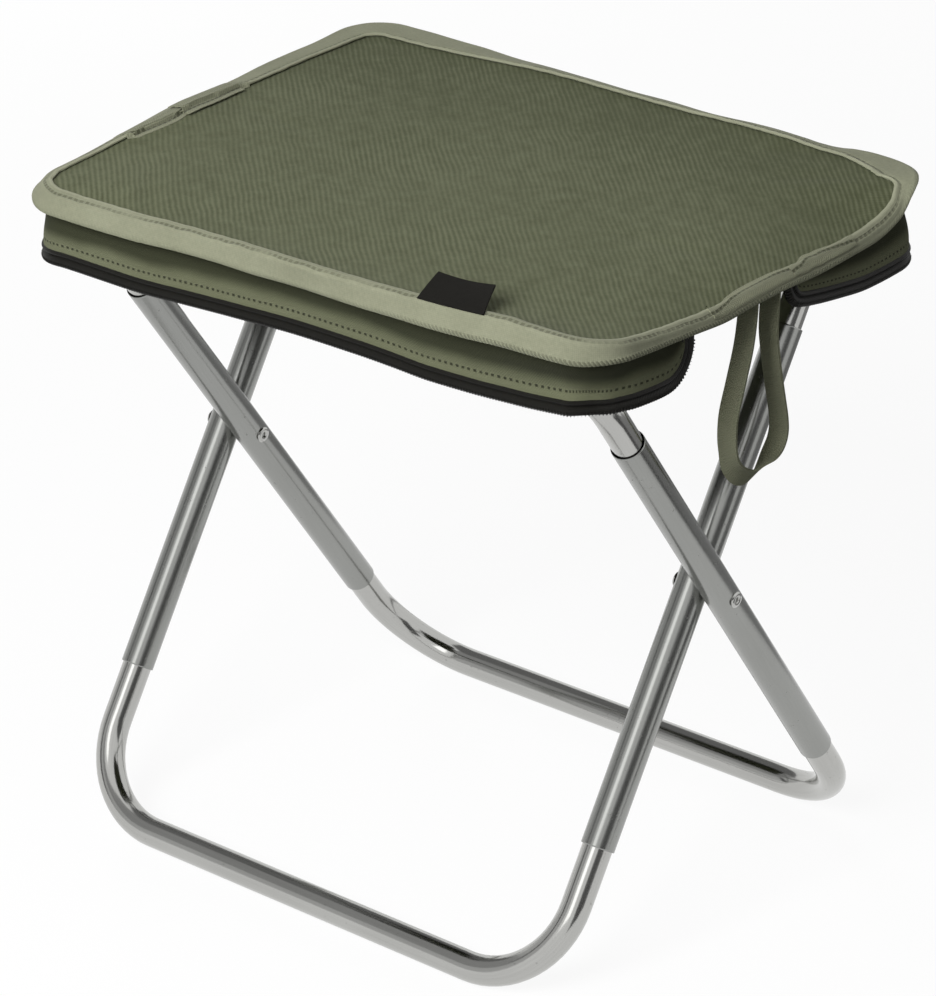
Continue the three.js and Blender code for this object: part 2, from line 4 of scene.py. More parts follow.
import bmesh
import bpy
from mathutils import Matrix, Vector, geometry, noise


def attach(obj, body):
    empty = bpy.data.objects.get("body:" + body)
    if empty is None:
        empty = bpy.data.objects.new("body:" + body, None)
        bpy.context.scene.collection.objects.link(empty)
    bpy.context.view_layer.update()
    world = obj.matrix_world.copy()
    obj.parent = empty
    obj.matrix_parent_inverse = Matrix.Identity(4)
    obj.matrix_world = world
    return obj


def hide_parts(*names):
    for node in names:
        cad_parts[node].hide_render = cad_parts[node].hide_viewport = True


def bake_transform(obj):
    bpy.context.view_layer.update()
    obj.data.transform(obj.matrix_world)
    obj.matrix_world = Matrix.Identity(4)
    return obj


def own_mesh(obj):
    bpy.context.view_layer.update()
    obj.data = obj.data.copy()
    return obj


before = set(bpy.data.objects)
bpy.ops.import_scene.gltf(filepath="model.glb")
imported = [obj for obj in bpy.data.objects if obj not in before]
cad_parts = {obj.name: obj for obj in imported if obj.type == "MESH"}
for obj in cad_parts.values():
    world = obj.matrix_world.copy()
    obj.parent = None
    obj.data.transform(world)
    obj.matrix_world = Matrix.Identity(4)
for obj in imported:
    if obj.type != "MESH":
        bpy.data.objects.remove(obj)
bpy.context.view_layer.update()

MM = 0.001

# Camera
CAMERA_PLACE = Vector((1.1686, -1.4411, 1.1121))
CAMERA_AZIMUTH = radians(39.19)
CAMERA_ELEVATION = radians(26.82)
CAMERA_ROLL = radians(-1.02)
CAMERA_LENS = 159.94
CAMERA_SENSOR = 36

# Seat outline
SEAT_HALF_LENGTH = 169 * MM
SEAT_HALF_DEPTH = 129.5 * MM
SEAT_CORNER = 27 * MM
SPINE_Y = -5 * MM
CREASE_FROM_SPINE = 24.15 * MM
CREASE_SOFTNESS = 12 * MM
CANVAS_TOP = 337.98 * MM
CANVAS_THICKNESS = 1.4 * MM
CANVAS_INSET = 2.9 * MM
SEAT_SQUARENESS = 16
CANVAS_GATHER = 24.1 * MM
CANVAS_SAG = 0.6 * MM
CANVAS_RIPPLE = 0.5 * MM

# The tables go by degrees round the seat from the middle of its right side.
# How far the canvas stands over its level along the edge, in mm
EDGE_RISE = {0: -10.4, 5: -11, 14: -12.6, 26: -13.4, 31: -12.8, 35: -10.2, 38: -6.8, 40: -4,
             42: -1.8, 45: -0.5, 50: 0, 54.4: -0.3, 56.5: 0.8, 59: 2.2, 62: 2.3, 68: 1.7, 79: -0.2,
             95: 0.3, 106: 1.2, 117: 0.4, 126: 0, 138: -1, 150: -1, 165: -0.7, 180: 2, 190: 3.8,
             200: 2.4, 207: 0.3, 214: -2.8, 222: -4.2, 230: -5.2, 238: -4.2, 247: -1.1, 253: 0.3,
             259: 1.6, 271: 3.1, 283: 3, 294: 4.3, 301: 5.9, 307: 7.8, 311: 7.6, 315: 5.6,
             318: 3.2, 325.5: -2.6, 336: -7.4, 345: -9.9, 352: -10}
# How the tape leans out from hanging straight down, in degrees
TAPE_LEAN = {0: 14, 27: 14, 33: 15, 36.5: 22, 38: 45, 39.5: 80, 41: 92, 50: 90, 52: 88, 54.4: 80,
             56: 72, 60: 64, 75: 65, 100: 65, 110: 72, 120: 84, 128: 88, 142: 88, 160: 84, 172: 76,
             190: 68, 205: 55, 212: 45, 220: 42, 230: 30, 247: 24, 259: 14, 271: 3, 283: 10,
             294: 14, 300: 16, 315: 14, 345: 12}
# How wide the tape is from its fold to its free edge, in mm
TAPE_FACE = {0: 5.4, 14: 5.8, 25: 5.4, 33: 6, 36.5: 6, 39: 5.8, 41: 8.2, 43: 12.5, 45: 15.5,
             49: 15.5, 52: 11.5, 54.4: 9, 60: 9.8, 66: 9, 80: 8.5, 102: 8.6, 112: 10, 120: 12.8,
             127: 15, 136: 14, 145: 12.3, 155: 10.5, 175: 10.5, 195: 12, 207: 11, 218: 11,
             232: 10.2, 243: 10.4, 253: 10.2, 265: 11.1, 287: 11.3, 300: 12.2, 312: 11.6, 318: 9,
             325: 6.6, 335: 5.4}
# How far the tape's inner edge stands off the canvas, in mm
TAPE_LIFT = {0: 0.15, 35: 0.3, 60: 0.9, 100: 1.1, 150: 0.9, 200: 0.9, 215: 0.6, 235: 0.25, 300: 0.1}
# How far the zip stands over its level, and how far it tucks in, in mm
ZIP_RISE = {0: 16, 4.4: 14.9, 12.8: 9.4, 22.4: 4.4, 31: 0.7, 37: 0, 45: 0, 225: 0.6, 231: 2.2,
            240: 1.8, 248: 2.9, 259: 4.3, 270: 5.3, 281: 4.8, 287: 4, 293: 2.9, 305: 3.4, 314: 5.6,
            320: 5.5, 335: 5}
ZIP_TUCK = {0: 0, 225: 0, 240: 0.5, 255: 2, 262: 2.5, 281: 4, 299: 6, 305: 8, 311: 10, 316: 11,
            321: 8, 325: 3, 330: 1, 350: 1}

# Small gathers of the canvas: x, y, turn in radians, length and height, else in mm
PUCKERS = ((-114, -104, 0.75, 20, 0.9), (-101, -108, 0.6, 15, -0.6), (126, 92, -0.9, 18, -0.7),
           (-120, -1, 1.45, 34, -0.4), (118, -9, 1.7, 30, -0.4))
PUCKER_WIDTH = 5

# Binding tape
TAPE_FLANGE = 3.5 * MM
TAPE_HALF_THICKNESS = 0.9 * MM
TAPE_FOLD = 2.6 * MM
TAPE_STEPS = 15
TAPE_SEAM = 3.4 * MM
# Where the tape is doubled: x and y in mm, and by what share of itself it is thicker
TAPE_LUMPS = ((154.5, -113, 0.75), (-158, 116, 0.6), (121, -129, 0.35))

# Pouch walls
SKIRT_DEPTH = 30 * MM
SKIRT_TOP_INSET = 8.2 * MM
SKIRT_INSET = 5 * MM
FRONT_SKIRT_FLAP = 19.5 * MM
BACK_SKIRT_FLAP = 10 * MM
ZIP_INSET = 4 * MM
ZIP_HALF_WIDTH = 5.5 * MM
SKIRT_OVER_ZIP = 2.2 * MM
ZIP_DEPTH = SKIRT_DEPTH + ZIP_HALF_WIDTH
FRONT_WALL_END = 54 * MM
FRONT_WALL_CURVE = 14 * MM
BACK_WALL_END = 22.5 * MM
BACK_WALL_CURVE = 7 * MM
WALL_THICKNESS = 1.2 * MM
WALL_SWELL = 1.5 * MM
FLAP_END_DEPTH = 3.5 * MM
ZIP_END_COVER = 0.8
COIL_INSET = 1.2 * MM
COIL_DROP = 3.3 * MM
WALL_BELOW_CANVAS = 1.9 * MM
TOOTH_PITCH = 1.5 * MM

# Tubes
TUBE_RADIUS = 7.15 * MM
TUBE_WALL = 1.1 * MM
SLEEVE_RADIUS = 8 * MM
SLEEVE_BORE = 7.4 * MM
TUBE_INSERTION = 40 * MM
BEND_RADIUS = 44 * MM
HALF_SPAN = 141.15 * MM
LEG_OFFSET = 8.15 * MM
FOOT_REACH = 198.7 * MM
SEAT_REACH = 189.4 * MM
SLEEVE_RISE = 125.2 * MM
BACK_SLEEVE_DROP = 126.5 * MM
FRONT_SLEEVE_DROP = 137.5 * MM
LEG_LEAN = radians(34.39)
PIVOT_HEIGHT = 170.98 * MM
FRAME_SHIFT = Vector((-5 * MM, -5 * MM, 0))
TUNNEL_RADIUS = 7.85 * MM
TUNNEL_THICKNESS = 0.7 * MM
RIVET_RADIUS = 2.4 * MM
RIVET_BORE = 1.3 * MM
RIVET_HEAD_RADIUS = 3.8 * MM
RIVET_HEAD_HEIGHT = 0.8 * MM
RIVET_SEAT = 16.3 * MM

# Webbing
LOOP_WIDTH = 10 * MM
LOOP_THICKNESS = 1.2 * MM
LOOP_LENGTH = 97.9 * MM
LOOP_BREADTH = 39.5 * MM
LOOP_CENTRE_Y = -6.4 * MM
LOOP_X = 161.3 * MM
LOOP_TOP = 334.88 * MM
RIGHT_LOOP_LOWER = 6 * MM
# The strap's route: its place across and down the loop, by shares of its breadth and length
LOOP_ROUTE = [(-0.23, 0), (-0.26, 0.17), (-0.4, 0.325), (-0.69, 0.49), (-0.93, 0.62),
              (-0.99, 0.725), (-0.94, 0.815), (-0.78, 0.9), (-0.49, 0.965), (-0.13, 1),
              (0.22, 0.99), (0.58, 0.96), (0.88, 0.91), (1, 0.85), (0.98, 0.775), (0.88, 0.683),
              (0.74, 0.56), (0.62, 0.438), (0.54, 0.316), (0.58, 0.17), (0.65, 0)]
# Turn of the strap's face about its own route, in degrees, by its share of the way along
LOOP_TWIST = {0: 0, 0.36: 0, 0.46: -55, 0.51: -50, 0.59: 0, 1: 0}
# How far in past the tape each strip over the spine's ends comes, by its place along, in mm
RIGHT_PATCH = {-46: -0.5, -41: 0, -18: 2.6, -5: 2.4, 10: 1.4, 20: 0.3, 26: -0.5}
RIGHT_SECOND_PATCH = {14: -0.5, 19: 0.2, 31: 2.4, 44: 1.4, 57: 0.1, 62: -0.5}
LEFT_PATCH = {-62: 0.4, -56: 3.2, -34: 3.8, -24: 2.4, 14: 1.6, 22: 0.4}
PATCH_THICKNESS = 0.4 * MM
PATCH_LIFT = 0.15 * MM
LEFT_TOP_PATCH = {-26: 4.2, -8: 4.4, 15: 3.6}

# Label
LABEL_LENGTH = 36 * MM
LABEL_WIDTH = 17.5 * MM
LABEL_THICKNESS = 0.8 * MM
LABEL_LEFT = 71.5 * MM
LABEL_INSET = 2.4 * MM
LABEL_LIFT = 0.4 * MM
LABEL_CURL = 0.9 * MM
LABEL_NARROWS = 5 * MM
LABEL_SLOPE = radians(24)
LABEL_FLATTENS = radians(4)
LABEL_SHIFTS = 4 * MM

# Studio
STOOL_MIDDLE = Vector((0, 0, 0.2))
WORLD_LEVEL = 0.28
FLOOR_SIZE = 12
FLOOR_BELOW = 0.05 * MM
FLOOR_SEEN = 0.94
FLOOR_LIT = 0.26
FLOOR_GLOW = 0.91

WELD = 0.001 * MM
SHARP = radians(38)


def ease(share):
    share = min(1, max(0, share))
    return share * share * (3 - 2 * share)


def slope_at(stops, k):
    """A table's slope at one of its stops: level at its ends and wherever it turns."""
    if k in (0, len(stops) - 1):
        return 0
    (before_at, before), (here_at, here), (after_at, after) = stops[k - 1:k + 2]
    rise, next_rise = (here - before) / (here_at - before_at), (after - here) / (after_at - here_at)
    return 2 * rise * next_rise / (rise + next_rise) if rise * next_rise > 0 else 0


def read(table, at):
    """A table's value by a smooth curve through its stops, which never swings past them."""
    stops = sorted(table.items())
    for k, ((low_at, low), (high_at, high)) in enumerate(zip(stops, stops[1:])):
        if low_at <= at <= high_at:
            span = high_at - low_at
            share = (at - low_at) / span
            rest = 1 - share
            leaving, arriving = slope_at(stops, k), slope_at(stops, k + 1)
            return (low + (high - low) * ease(share)
                    + span * share * rest * (leaving * rest - arriving * share))
    return stops[0][1] if at < stops[0][0] else stops[-1][1]


def around(table, x, y):
    """A table's value at a place on the seat, read by its angle round the seat's middle."""
    angle = degrees(atan2(y / SEAT_HALF_DEPTH, x / SEAT_HALF_LENGTH)) % 360
    last = max(table)
    return read({**table, min(table) + 360: table[min(table)], last - 360: table[last]}, angle)


def edge_share(x, y):
    """0 in the middle of the seat and 1 on its outline, where it rises steeply."""
    across = abs(x / SEAT_HALF_LENGTH) ** SEAT_SQUARENESS
    along = abs(y / SEAT_HALF_DEPTH) ** SEAT_SQUARENESS
    return min(1, sqrt(across + along))


def canvas_height(x, y):
    """The canvas's top: level over the bars, slack between them, and lifted along its edge."""
    slack = max(0, 1 - (x / SEAT_HALF_LENGTH) ** 4) * max(0, 1 - (y / SEAT_HALF_DEPTH) ** 2)
    ripple = noise.noise((x * 14, y * 14, 0)) * CANVAS_RIPPLE
    lift = edge_share(x, y) * around(EDGE_RISE, x, y) * MM
    pucker = 0
    for spot_x, spot_y, turn, reach, depth in PUCKERS:
        aside = (x / MM - spot_x) * cos(turn) + (y / MM - spot_y) * sin(turn)
        ahead = (y / MM - spot_y) * cos(turn) - (x / MM - spot_x) * sin(turn)
        pucker += depth * MM * exp(-(aside / PUCKER_WIDTH) ** 2 - (ahead / reach) ** 2)
    return CANVAS_TOP + lift + pucker + (ripple - CANVAS_SAG) * slack


def edge_distance(x, y):
    """How far inside the seat's outline a place is, and the way straight out from there."""
    past_x = abs(x) - (SEAT_HALF_LENGTH - SEAT_CORNER)
    past_y = abs(y) - (SEAT_HALF_DEPTH - SEAT_CORNER)
    if past_x > 0 and past_y > 0:
        reach = hypot(past_x, past_y)
        inside, out_x, out_y = SEAT_CORNER - reach, past_x / reach, past_y / reach
    elif past_x > past_y:
        inside, out_x, out_y = SEAT_HALF_LENGTH - abs(x), 1, 0
    else:
        inside, out_x, out_y = SEAT_HALF_DEPTH - abs(y), 0, 1
    return inside, copysign(out_x, x), copysign(out_y, y)


def fold_inset(x, y):
    """How far in from the outline the tape folds, so that its free edge ends on the outline."""
    lean = radians(around(TAPE_LEAN, x, y))
    return around(TAPE_FACE, x, y) * MM * sin(lean) + TAPE_HALF_THICKNESS


class Station:
    """A place on the seat's outline, with the way outwards and how far along the route it is."""

    def __init__(self, x, y, out_x, out_y):
        self.x, self.y, self.out_x, self.out_y, self.along = x, y, out_x, out_y, 0

    def at(self, inset, height):
        return Vector((self.x - inset * self.out_x, self.y - inset * self.out_y, height))

    @property
    def on_side(self):
        return abs(self.out_y) < 0.001

    @property
    def from_spine(self):
        return abs(self.y - SPINE_Y)


def in_order(stations):
    """The same stations, each told how far along the route it is."""
    for before, after in zip(stations, stations[1:]):
        after.along = before.along + dist((before.x, before.y), (after.x, after.y))
    return stations


def distances(points):
    """How far along their route each of these points is."""
    gone = [0]
    for before, after in zip(points, points[1:]):
        gone.append(gone[-1] + dist(before, after))
    return gone


def outline(facing, start=0, spacing=3 * MM):
    """One half's outline from the spine's right end, round the seat, to the spine's left end."""
    straight_x = SEAT_HALF_LENGTH - SEAT_CORNER
    straight_y = facing * (SEAT_HALF_DEPTH - SEAT_CORNER)
    first_y = SPINE_Y + facing * start
    side_steps = round(abs(straight_y - first_y) / spacing)
    right = [Station(SEAT_HALF_LENGTH, first_y + (straight_y - first_y) * k / side_steps, 1, 0)
             for k in range(side_steps)]
    corner_steps = round(SEAT_CORNER * pi / 2 / spacing)
    for k in range(corner_steps):
        turn = pi / 2 * k / corner_steps
        right.append(Station(straight_x + SEAT_CORNER * cos(turn),
                             straight_y + facing * SEAT_CORNER * sin(turn),
                             cos(turn), facing * sin(turn)))
    end_steps = round(straight_x / spacing)
    right += [Station(straight_x * (1 - k / end_steps), facing * SEAT_HALF_DEPTH, 0, facing)
              for k in range(end_steps)]
    left = [Station(-s.x, s.y, -s.out_x, s.out_y) for s in reversed(right)]
    return in_order(right + [Station(0, facing * SEAT_HALF_DEPTH, 0, facing)] + left)


def made(name, mesh):
    """A finished object from a bmesh, smooth except at sharp corners."""
    for face in mesh.faces:
        face.smooth = True
    for edge in mesh.edges:
        edge.smooth = not edge.is_boundary and edge.calc_face_angle(0) < SHARP
    data = bpy.data.meshes.new(name)
    mesh.to_mesh(data)
    mesh.free()
    piece = bpy.data.objects.new(name, data)
    bpy.context.scene.collection.objects.link(piece)
    return piece


def skin(name, columns, rows, place, capped=False, level=False):
    """A grid moved to its shape and welded where its edges meet.

    place(i, j) gives a point, and how far it is along and across its cloth and from its rim.
    """
    mesh = bmesh.new()
    bmesh.ops.create_grid(mesh, x_segments=columns, y_segments=rows, size=0.5)
    layers = [mesh.verts.layers.float.new(layer) for layer in ("along", "across", "rim")]
    for vertex in mesh.verts:
        i = round((vertex.co.x + 0.5) * columns)
        j = round((vertex.co.y + 0.5) * rows)
        vertex.co, *amounts = place(i, j)
        for layer, amount in zip(layers, amounts):
            vertex[layer] = amount
    bmesh.ops.remove_doubles(mesh, verts=mesh.verts, dist=WELD)
    if capped:
        open_edges = [edge for edge in mesh.edges if edge.is_boundary]
        bmesh.ops.holes_fill(mesh, edges=open_edges, sides=0)
    bmesh.ops.recalc_face_normals(mesh, faces=mesh.faces)
    if level and sum(face.normal.z for face in mesh.faces) < 0:
        bmesh.ops.reverse_faces(mesh, faces=mesh.faces)
    return made(name, mesh)


def thicken(piece, thickness, offset=0):
    """Gives a sheet its thickness: half to each side, or all of it behind its face."""
    solid = piece.modifiers.new("Thickness", "SOLIDIFY")
    solid.thickness = thickness
    solid.offset = offset
    return piece


def dress(piece, finish):
    piece.data.materials.clear()
    piece.data.materials.append(finish)
    return piece


# Shader maths and finishes


class Value:
    """A shader socket on which Python arithmetic adds Math nodes."""

    def __init__(self, finish, socket):
        self.finish, self.socket = finish, socket

    def maths(self, operation, *others):
        return self.finish.node("Math", {"operation": operation}, self, *others)

    def __add__(self, other):
        return self.maths("ADD", other)

    def __sub__(self, other):
        return self.maths("SUBTRACT", other)

    def __rsub__(self, other):
        return self.finish.node("Math", {"operation": "SUBTRACT"}, other, self)

    def __mul__(self, other):
        return self.maths("MULTIPLY", other)

    __radd__ = __add__
    __rmul__ = __mul__

    def wave(self, length):
        """Rises and falls from 0 to 1 with this wavelength."""
        return (self * (2 * pi / length)).maths("SINE") * 0.5 + 0.5

    def above(self, edge, soft, before=0, after=1):
        """0 up to the edge, rising to 1 over the soft distance."""
        return self.finish.node("Map Range", {"interpolation_type": "SMOOTHSTEP"},
                                self, edge, edge + soft, before, after)

    def band(self, centre, half_width, soft):
        """1 within half_width of the centre, falling to 0 over the soft distance."""
        return (self - centre).maths("ABSOLUTE").above(half_width, soft, 1, 0)


class Nodes:
    """A node tree whose nodes are added by kind, with the values or links of their sockets."""

    def __init__(self, owner):
        owner.use_nodes = True
        self.tree = owner.node_tree

    def node(self, kind, settings=None, *sockets, out=0, **named):
        added = self.tree.nodes.new("ShaderNode" + kind.replace(" ", ""))
        for setting, choice in (settings or {}).items():
            setattr(added, setting, choice)
        pairs = list(zip(added.inputs, sockets))
        pairs += [(added.inputs[name.replace("_", " ")], given) for name, given in named.items()]
        for socket, given in pairs:
            self.feed(socket, given)
        return Value(self, added.outputs[out] if added.outputs else None)

    def feed(self, socket, given):
        if isinstance(given, Value):
            self.tree.links.new(given.socket, socket)
        else:
            socket.default_value = given


class Finish(Nodes):
    """A material of the stool's pieces, whose sockets are fixed values until they are fed."""

    def __init__(self, name, colour, **fixed):
        self.material = bpy.data.materials.new(name)
        super().__init__(self.material)
        self.shader = self.tree.nodes["Principled BSDF"]
        self.set(Base_Color=linear(colour), **fixed)

    def set(self, **sockets):
        for name, given in sockets.items():
            self.feed(self.shader.inputs[name.replace("_", " ")], given)
        return self.material

    def place(self):
        return self.node("Tex Coord", out=3)

    def axes(self):
        split = self.node("Separate XYZ", None, self.place()).socket.node
        return [Value(self, split.outputs[k]) for k in range(3)]

    def measures(self, *names):
        """How far a place is along and across its piece, from the piece's own attributes."""
        return [self.node("Attribute", {"attribute_name": name}, out=2)
                for name in ("along", "across", *names)]

    def grain(self, scale, detail=3, where=None):
        where = where or self.place()
        return self.node("Tex Noise", None, Vector=where, Scale=scale, Detail=detail)

    def mix(self, share, first, second):
        """A colour between two, each written in 8-bit display values or another mix."""
        blend = self.node("Mix", {"data_type": "RGBA"}, share, out=2)
        for socket, colour in zip(blend.socket.node.inputs[6:8], (first, second)):
            self.feed(socket, colour if isinstance(colour, Value) else linear(colour))
        return blend

    def done(self, colour, height, depth, **others):
        """The material with this colour and a relief this deep."""
        relief = self.node("Bump", None, Height=height, Distance=depth, Strength=1.0)
        return self.set(Base_Color=colour, Normal=relief, **others)


def linear(colour):
    """A solid colour written in 8-bit display values, made linear."""
    shares = [level / 255 for level in colour]
    return [*(s / 12.92 if s <= 0.04045 else ((s + 0.055) / 1.055) ** 2.4 for s in shares), 1]


OLIVE = (95, 99, 76)
OLIVE_DARK = (80, 84, 62)
OLIVE_LIGHT = (110, 114, 90)
TAPE = (146, 148, 124)
BLACK_CLOTH = (24, 23, 20)


def twill(finish, along, across, pitch):
    """Diagonal ribs crossed by threads: 0 in the grooves and 1 on the ribs."""
    wander = (finish.grain(35, 3) - 0.5) * 3 * MM
    ribs = (along + across + wander).wave(pitch)
    threads = (along - across).wave(pitch * 0.42)
    return ribs * 0.74 + threads * 0.26


def canvas_finish():
    finish = Finish("olive_canvas", OLIVE, Roughness=0.95, Sheen_Weight=0.04, Sheen_Roughness=0.5,
                    Specular_IOR_Level=0.08)
    x, y, _ = finish.axes()
    weave = twill(finish, x * 0.71, y * 0.71, 2.5 * MM)
    strength = finish.grain(22, 2)
    clouds = finish.grain(11, 3)
    slubs = finish.grain(230, 3)
    fuzz = finish.grain(700, 2)
    tone = ((weave - 0.5) * strength * 1.5 + clouds * 0.5 + slubs * 0.6 + fuzz * 0.45
            + finish.grain(110, 2) * 0.6 - 0.58
            # Painted shade: the canvas is darker towards the back
            - y.above(20 * MM, 90 * MM) * 0.28)
    cloth = finish.mix(tone, OLIVE_DARK, OLIVE_LIGHT)
    height = weave * 0.8 + slubs * 0.5 + fuzz * 0.35
    return finish.done(cloth, height, 0.16 * MM)


def skirt_finish():
    """The walls' canvas, with a row of stitches a little above the zip and painted shade over its
    upper part, under the tape.
    """
    finish = Finish("wall_canvas", OLIVE, Roughness=0.95, Sheen_Weight=0.04,
                    Specular_IOR_Level=0.08)
    along, across = finish.measures()
    weave = twill(finish, along, across, 1.3 * MM)
    fuzz = finish.grain(900, 2)
    row = across.band(4 * MM, 0.4 * MM, 0.3 * MM)
    holes = (along + finish.grain(90, 2) * 2 * MM).wave(3.1 * MM).above(0.5, 0.2)
    stitch = row * holes
    cloth = finish.mix(weave * 0.3 + finish.grain(12, 3) * 0.4 + fuzz * 0.25,
                       (92, 95, 72), (118, 121, 98))
    cloth = finish.mix(stitch * 0.8, cloth, (40, 41, 30))
    # Painted shade: the wall's upper part, under the tape's overhang, is darkened in its colour
    painted_shade_under_tape = (across + (finish.grain(30, 2) - 0.5) * 5 * MM).above(5 * MM, 8 * MM)
    cloth = finish.mix(painted_shade_under_tape * 0.9, cloth, (46, 48, 35))
    height = weave * 0.5 + fuzz * 0.3 - stitch * 2.2 - across.band(4 * MM, 1.2 * MM, 1.5 * MM) * 0.8
    return finish.done(cloth, height, 0.2 * MM)


def tape_finish():
    """Binding tape: cross weave, a sunk row of stitches by its inner edge, whipped free edge."""
    finish = Finish("binding_tape", TAPE, Roughness=0.93, Sheen_Weight=0.06, Sheen_Roughness=0.5,
                    Specular_IOR_Level=0.1)
    along, across, rim = finish.measures("rim")
    x, y, _ = finish.axes()
    weave = along.wave(0.9 * MM) * 0.5 + across.wave(0.8 * MM) * 0.5
    fuzz = finish.grain(700, 3)
    drift = finish.grain(35, 3)
    clouds = finish.grain(60, 4)
    dash = (along + drift * 3 * MM).wave(3.3 * MM).above(0.2, 0.3)
    seam = (across + (drift - 0.5) * 0.9 * MM).band(TAPE_SEAM, 0.3 * MM, 0.45 * MM)
    worn = finish.grain(45, 3).above(0.4, 0.2)
    stitch = seam * (dash * 0.5 + 0.3) * (worn * 0.6 + 0.4)
    lip = 1 - (across + (finish.grain(300, 2) - 0.5) * 0.9 * MM).above(1.1 * MM, 0.9 * MM)
    whipped_side = x.above(0.02, 0.1) * (0.075 - y).above(0, 0.05)
    edge = (1 - rim.above(2 * MM, 0.8 * MM)) * (whipped_side * 0.8 + 0.2)
    whip = (along + across * 0.8).wave(2.1 * MM)
    cloth = finish.mix(weave * 0.16 + fuzz * 0.34 + drift * 0.25 + clouds * 0.25,
                       (104, 106, 86), (162, 164, 141))
    cloth = finish.mix(lip * 0.4, cloth, (172, 174, 150))
    cloth = finish.mix(stitch * 0.65, cloth, (58, 60, 44))
    cloth = finish.mix(edge * whip * 0.45, cloth, (72, 74, 56))
    height = weave * 0.22 + fuzz * 0.45 + clouds * 0.8 - stitch * 1.8 + edge * whip * 1.8
    return finish.done(cloth, height, 0.22 * MM)


def webbing_finish(name, dark, light, cut):
    """Herringbone webbing; where it is cut and sewn down it has a paler edge and a stitch row."""
    finish = Finish(name, dark, Roughness=0.93, Sheen_Weight=0.06, Specular_IOR_Level=0.1)
    along, across = finish.measures()
    chevron = (along + across.wave(3 * MM) * 1.2 * MM).wave(1.3 * MM)
    fuzz = finish.grain(800, 3)
    cloth = finish.mix(chevron * 0.3 + fuzz * 0.35 + finish.grain(30, 3) * 0.35, dark, light)
    height = chevron * 0.8 + fuzz * 0.4
    if cut:
        lip = 1 - across.above(1.6 * MM, 0.7 * MM)
        dash = along.wave(3.2 * MM).above(0.2, 0.3)
        stitch = across.band(2.9 * MM, 0.3 * MM, 0.4 * MM) * (dash * 0.5 + 0.5)
        cloth = finish.mix(lip * 0.4, cloth, (160, 162, 138))
        cloth = finish.mix(stitch * 0.75, cloth, (58, 60, 44))
        height = height - stitch * 1.6
    return finish.done(cloth, height, 0.2 * MM)


def zip_finish():
    finish = Finish("zip_tape", BLACK_CLOTH, Roughness=0.5, Specular_IOR_Level=0.16)
    along, across = finish.measures()
    weave = (along * 1.0 + across * 0.6).wave(0.9 * MM)
    fuzz = finish.grain(900, 2)
    cloth = finish.mix(weave * 0.4 + fuzz * 0.5, (12, 12, 10), (32, 31, 27))
    return finish.done(cloth, weave + fuzz * 0.3, 0.12 * MM)


def coil_finish():
    finish = Finish("zip_coil", (30, 29, 27), Roughness=0.38, Specular_IOR_Level=0.35)
    wear = finish.grain(600, 2)
    return finish.set(Base_Color=finish.mix(wear, (20, 20, 18), (46, 45, 42)),
                      Roughness=wear * 0.2 + 0.3)


def metal_finish(name, dark, light, roughness, scratch):
    """Drawn tube: fine scratches along it, a slow change of tone and a few darker specks."""
    finish = Finish(name, light, Metallic=1.0, Roughness=roughness)
    along, across = finish.measures()
    route = finish.node("Combine XYZ", None, along * 0.03, across, 0)
    scratches = finish.grain(scratch, 4, where=route)
    clouds = finish.grain(14, 3)
    specks = finish.grain(380, 2).above(0.7, 0.05)
    metal = finish.mix(scratches * 0.5 + clouds * 0.5, dark, light)
    metal = finish.mix(specks * 0.3, metal, (104, 104, 100))
    return finish.done(metal, scratches, 0.008 * MM,
                       Roughness=scratches * 0.1 + specks * 0.12 + (roughness - 0.05))


def label_finish():
    finish = Finish("label_ribbon", (22, 21, 19), Roughness=0.75, Specular_IOR_Level=0.12)
    along, across = finish.measures()
    weave = along.wave(0.7 * MM) * 0.5 + across.wave(0.5 * MM) * 0.5
    cloth = finish.mix(weave * 0.6 + finish.grain(500, 2) * 0.4, (14, 13, 12), (34, 33, 30))
    return finish.done(cloth, weave, 0.1 * MM)


def paint_finish():
    finish = Finish("black_paint", (30, 30, 29), Roughness=0.4, Coat_Weight=0.3)
    wear = finish.grain(300, 3)
    return finish.done(finish.mix(wear, (24, 24, 23), (52, 52, 50)), wear, 0.05 * MM,
                       Roughness=wear * 0.25 + 0.3)


CANVAS = canvas_finish()
WALL = skirt_finish()
BINDING = tape_finish()
LOOP_WEBBING = webbing_finish("loop_webbing", (102, 104, 83), (142, 144, 121), False)
PATCH_WEBBING = webbing_finish("patch_webbing", (102, 104, 83), (154, 156, 133), True)
ZIP_TAPE = zip_finish()
ZIP_COIL = coil_finish()
STEEL = metal_finish("bright_steel", (164, 164, 161), (192, 192, 189), 0.15, 900)
SATIN = metal_finish("satin_steel", (138, 139, 136), (160, 161, 158), 0.22, 1400)
LABEL = label_finish()
PAINT = paint_finish()


# Cloth of the seat


def half_rows(facing):
    """Rows of a seat half, from the spine's middle to the end, closer together at the corners."""
    straight = facing * (SEAT_HALF_DEPTH - SEAT_CORNER)
    rows = [SPINE_Y + (straight - SPINE_Y) * k / 44 for k in range(44)]
    return rows + [straight + facing * (SEAT_CORNER - CANVAS_INSET) * sin(pi / 2 * k / 14)
                   for k in range(15)]


def canvas_half_width(y):
    radius = SEAT_CORNER - CANVAS_INSET
    past = max(0, abs(y) - (SEAT_HALF_DEPTH - SEAT_CORNER))
    return SEAT_HALF_LENGTH - SEAT_CORNER + sqrt(max(0, radius ** 2 - past ** 2))


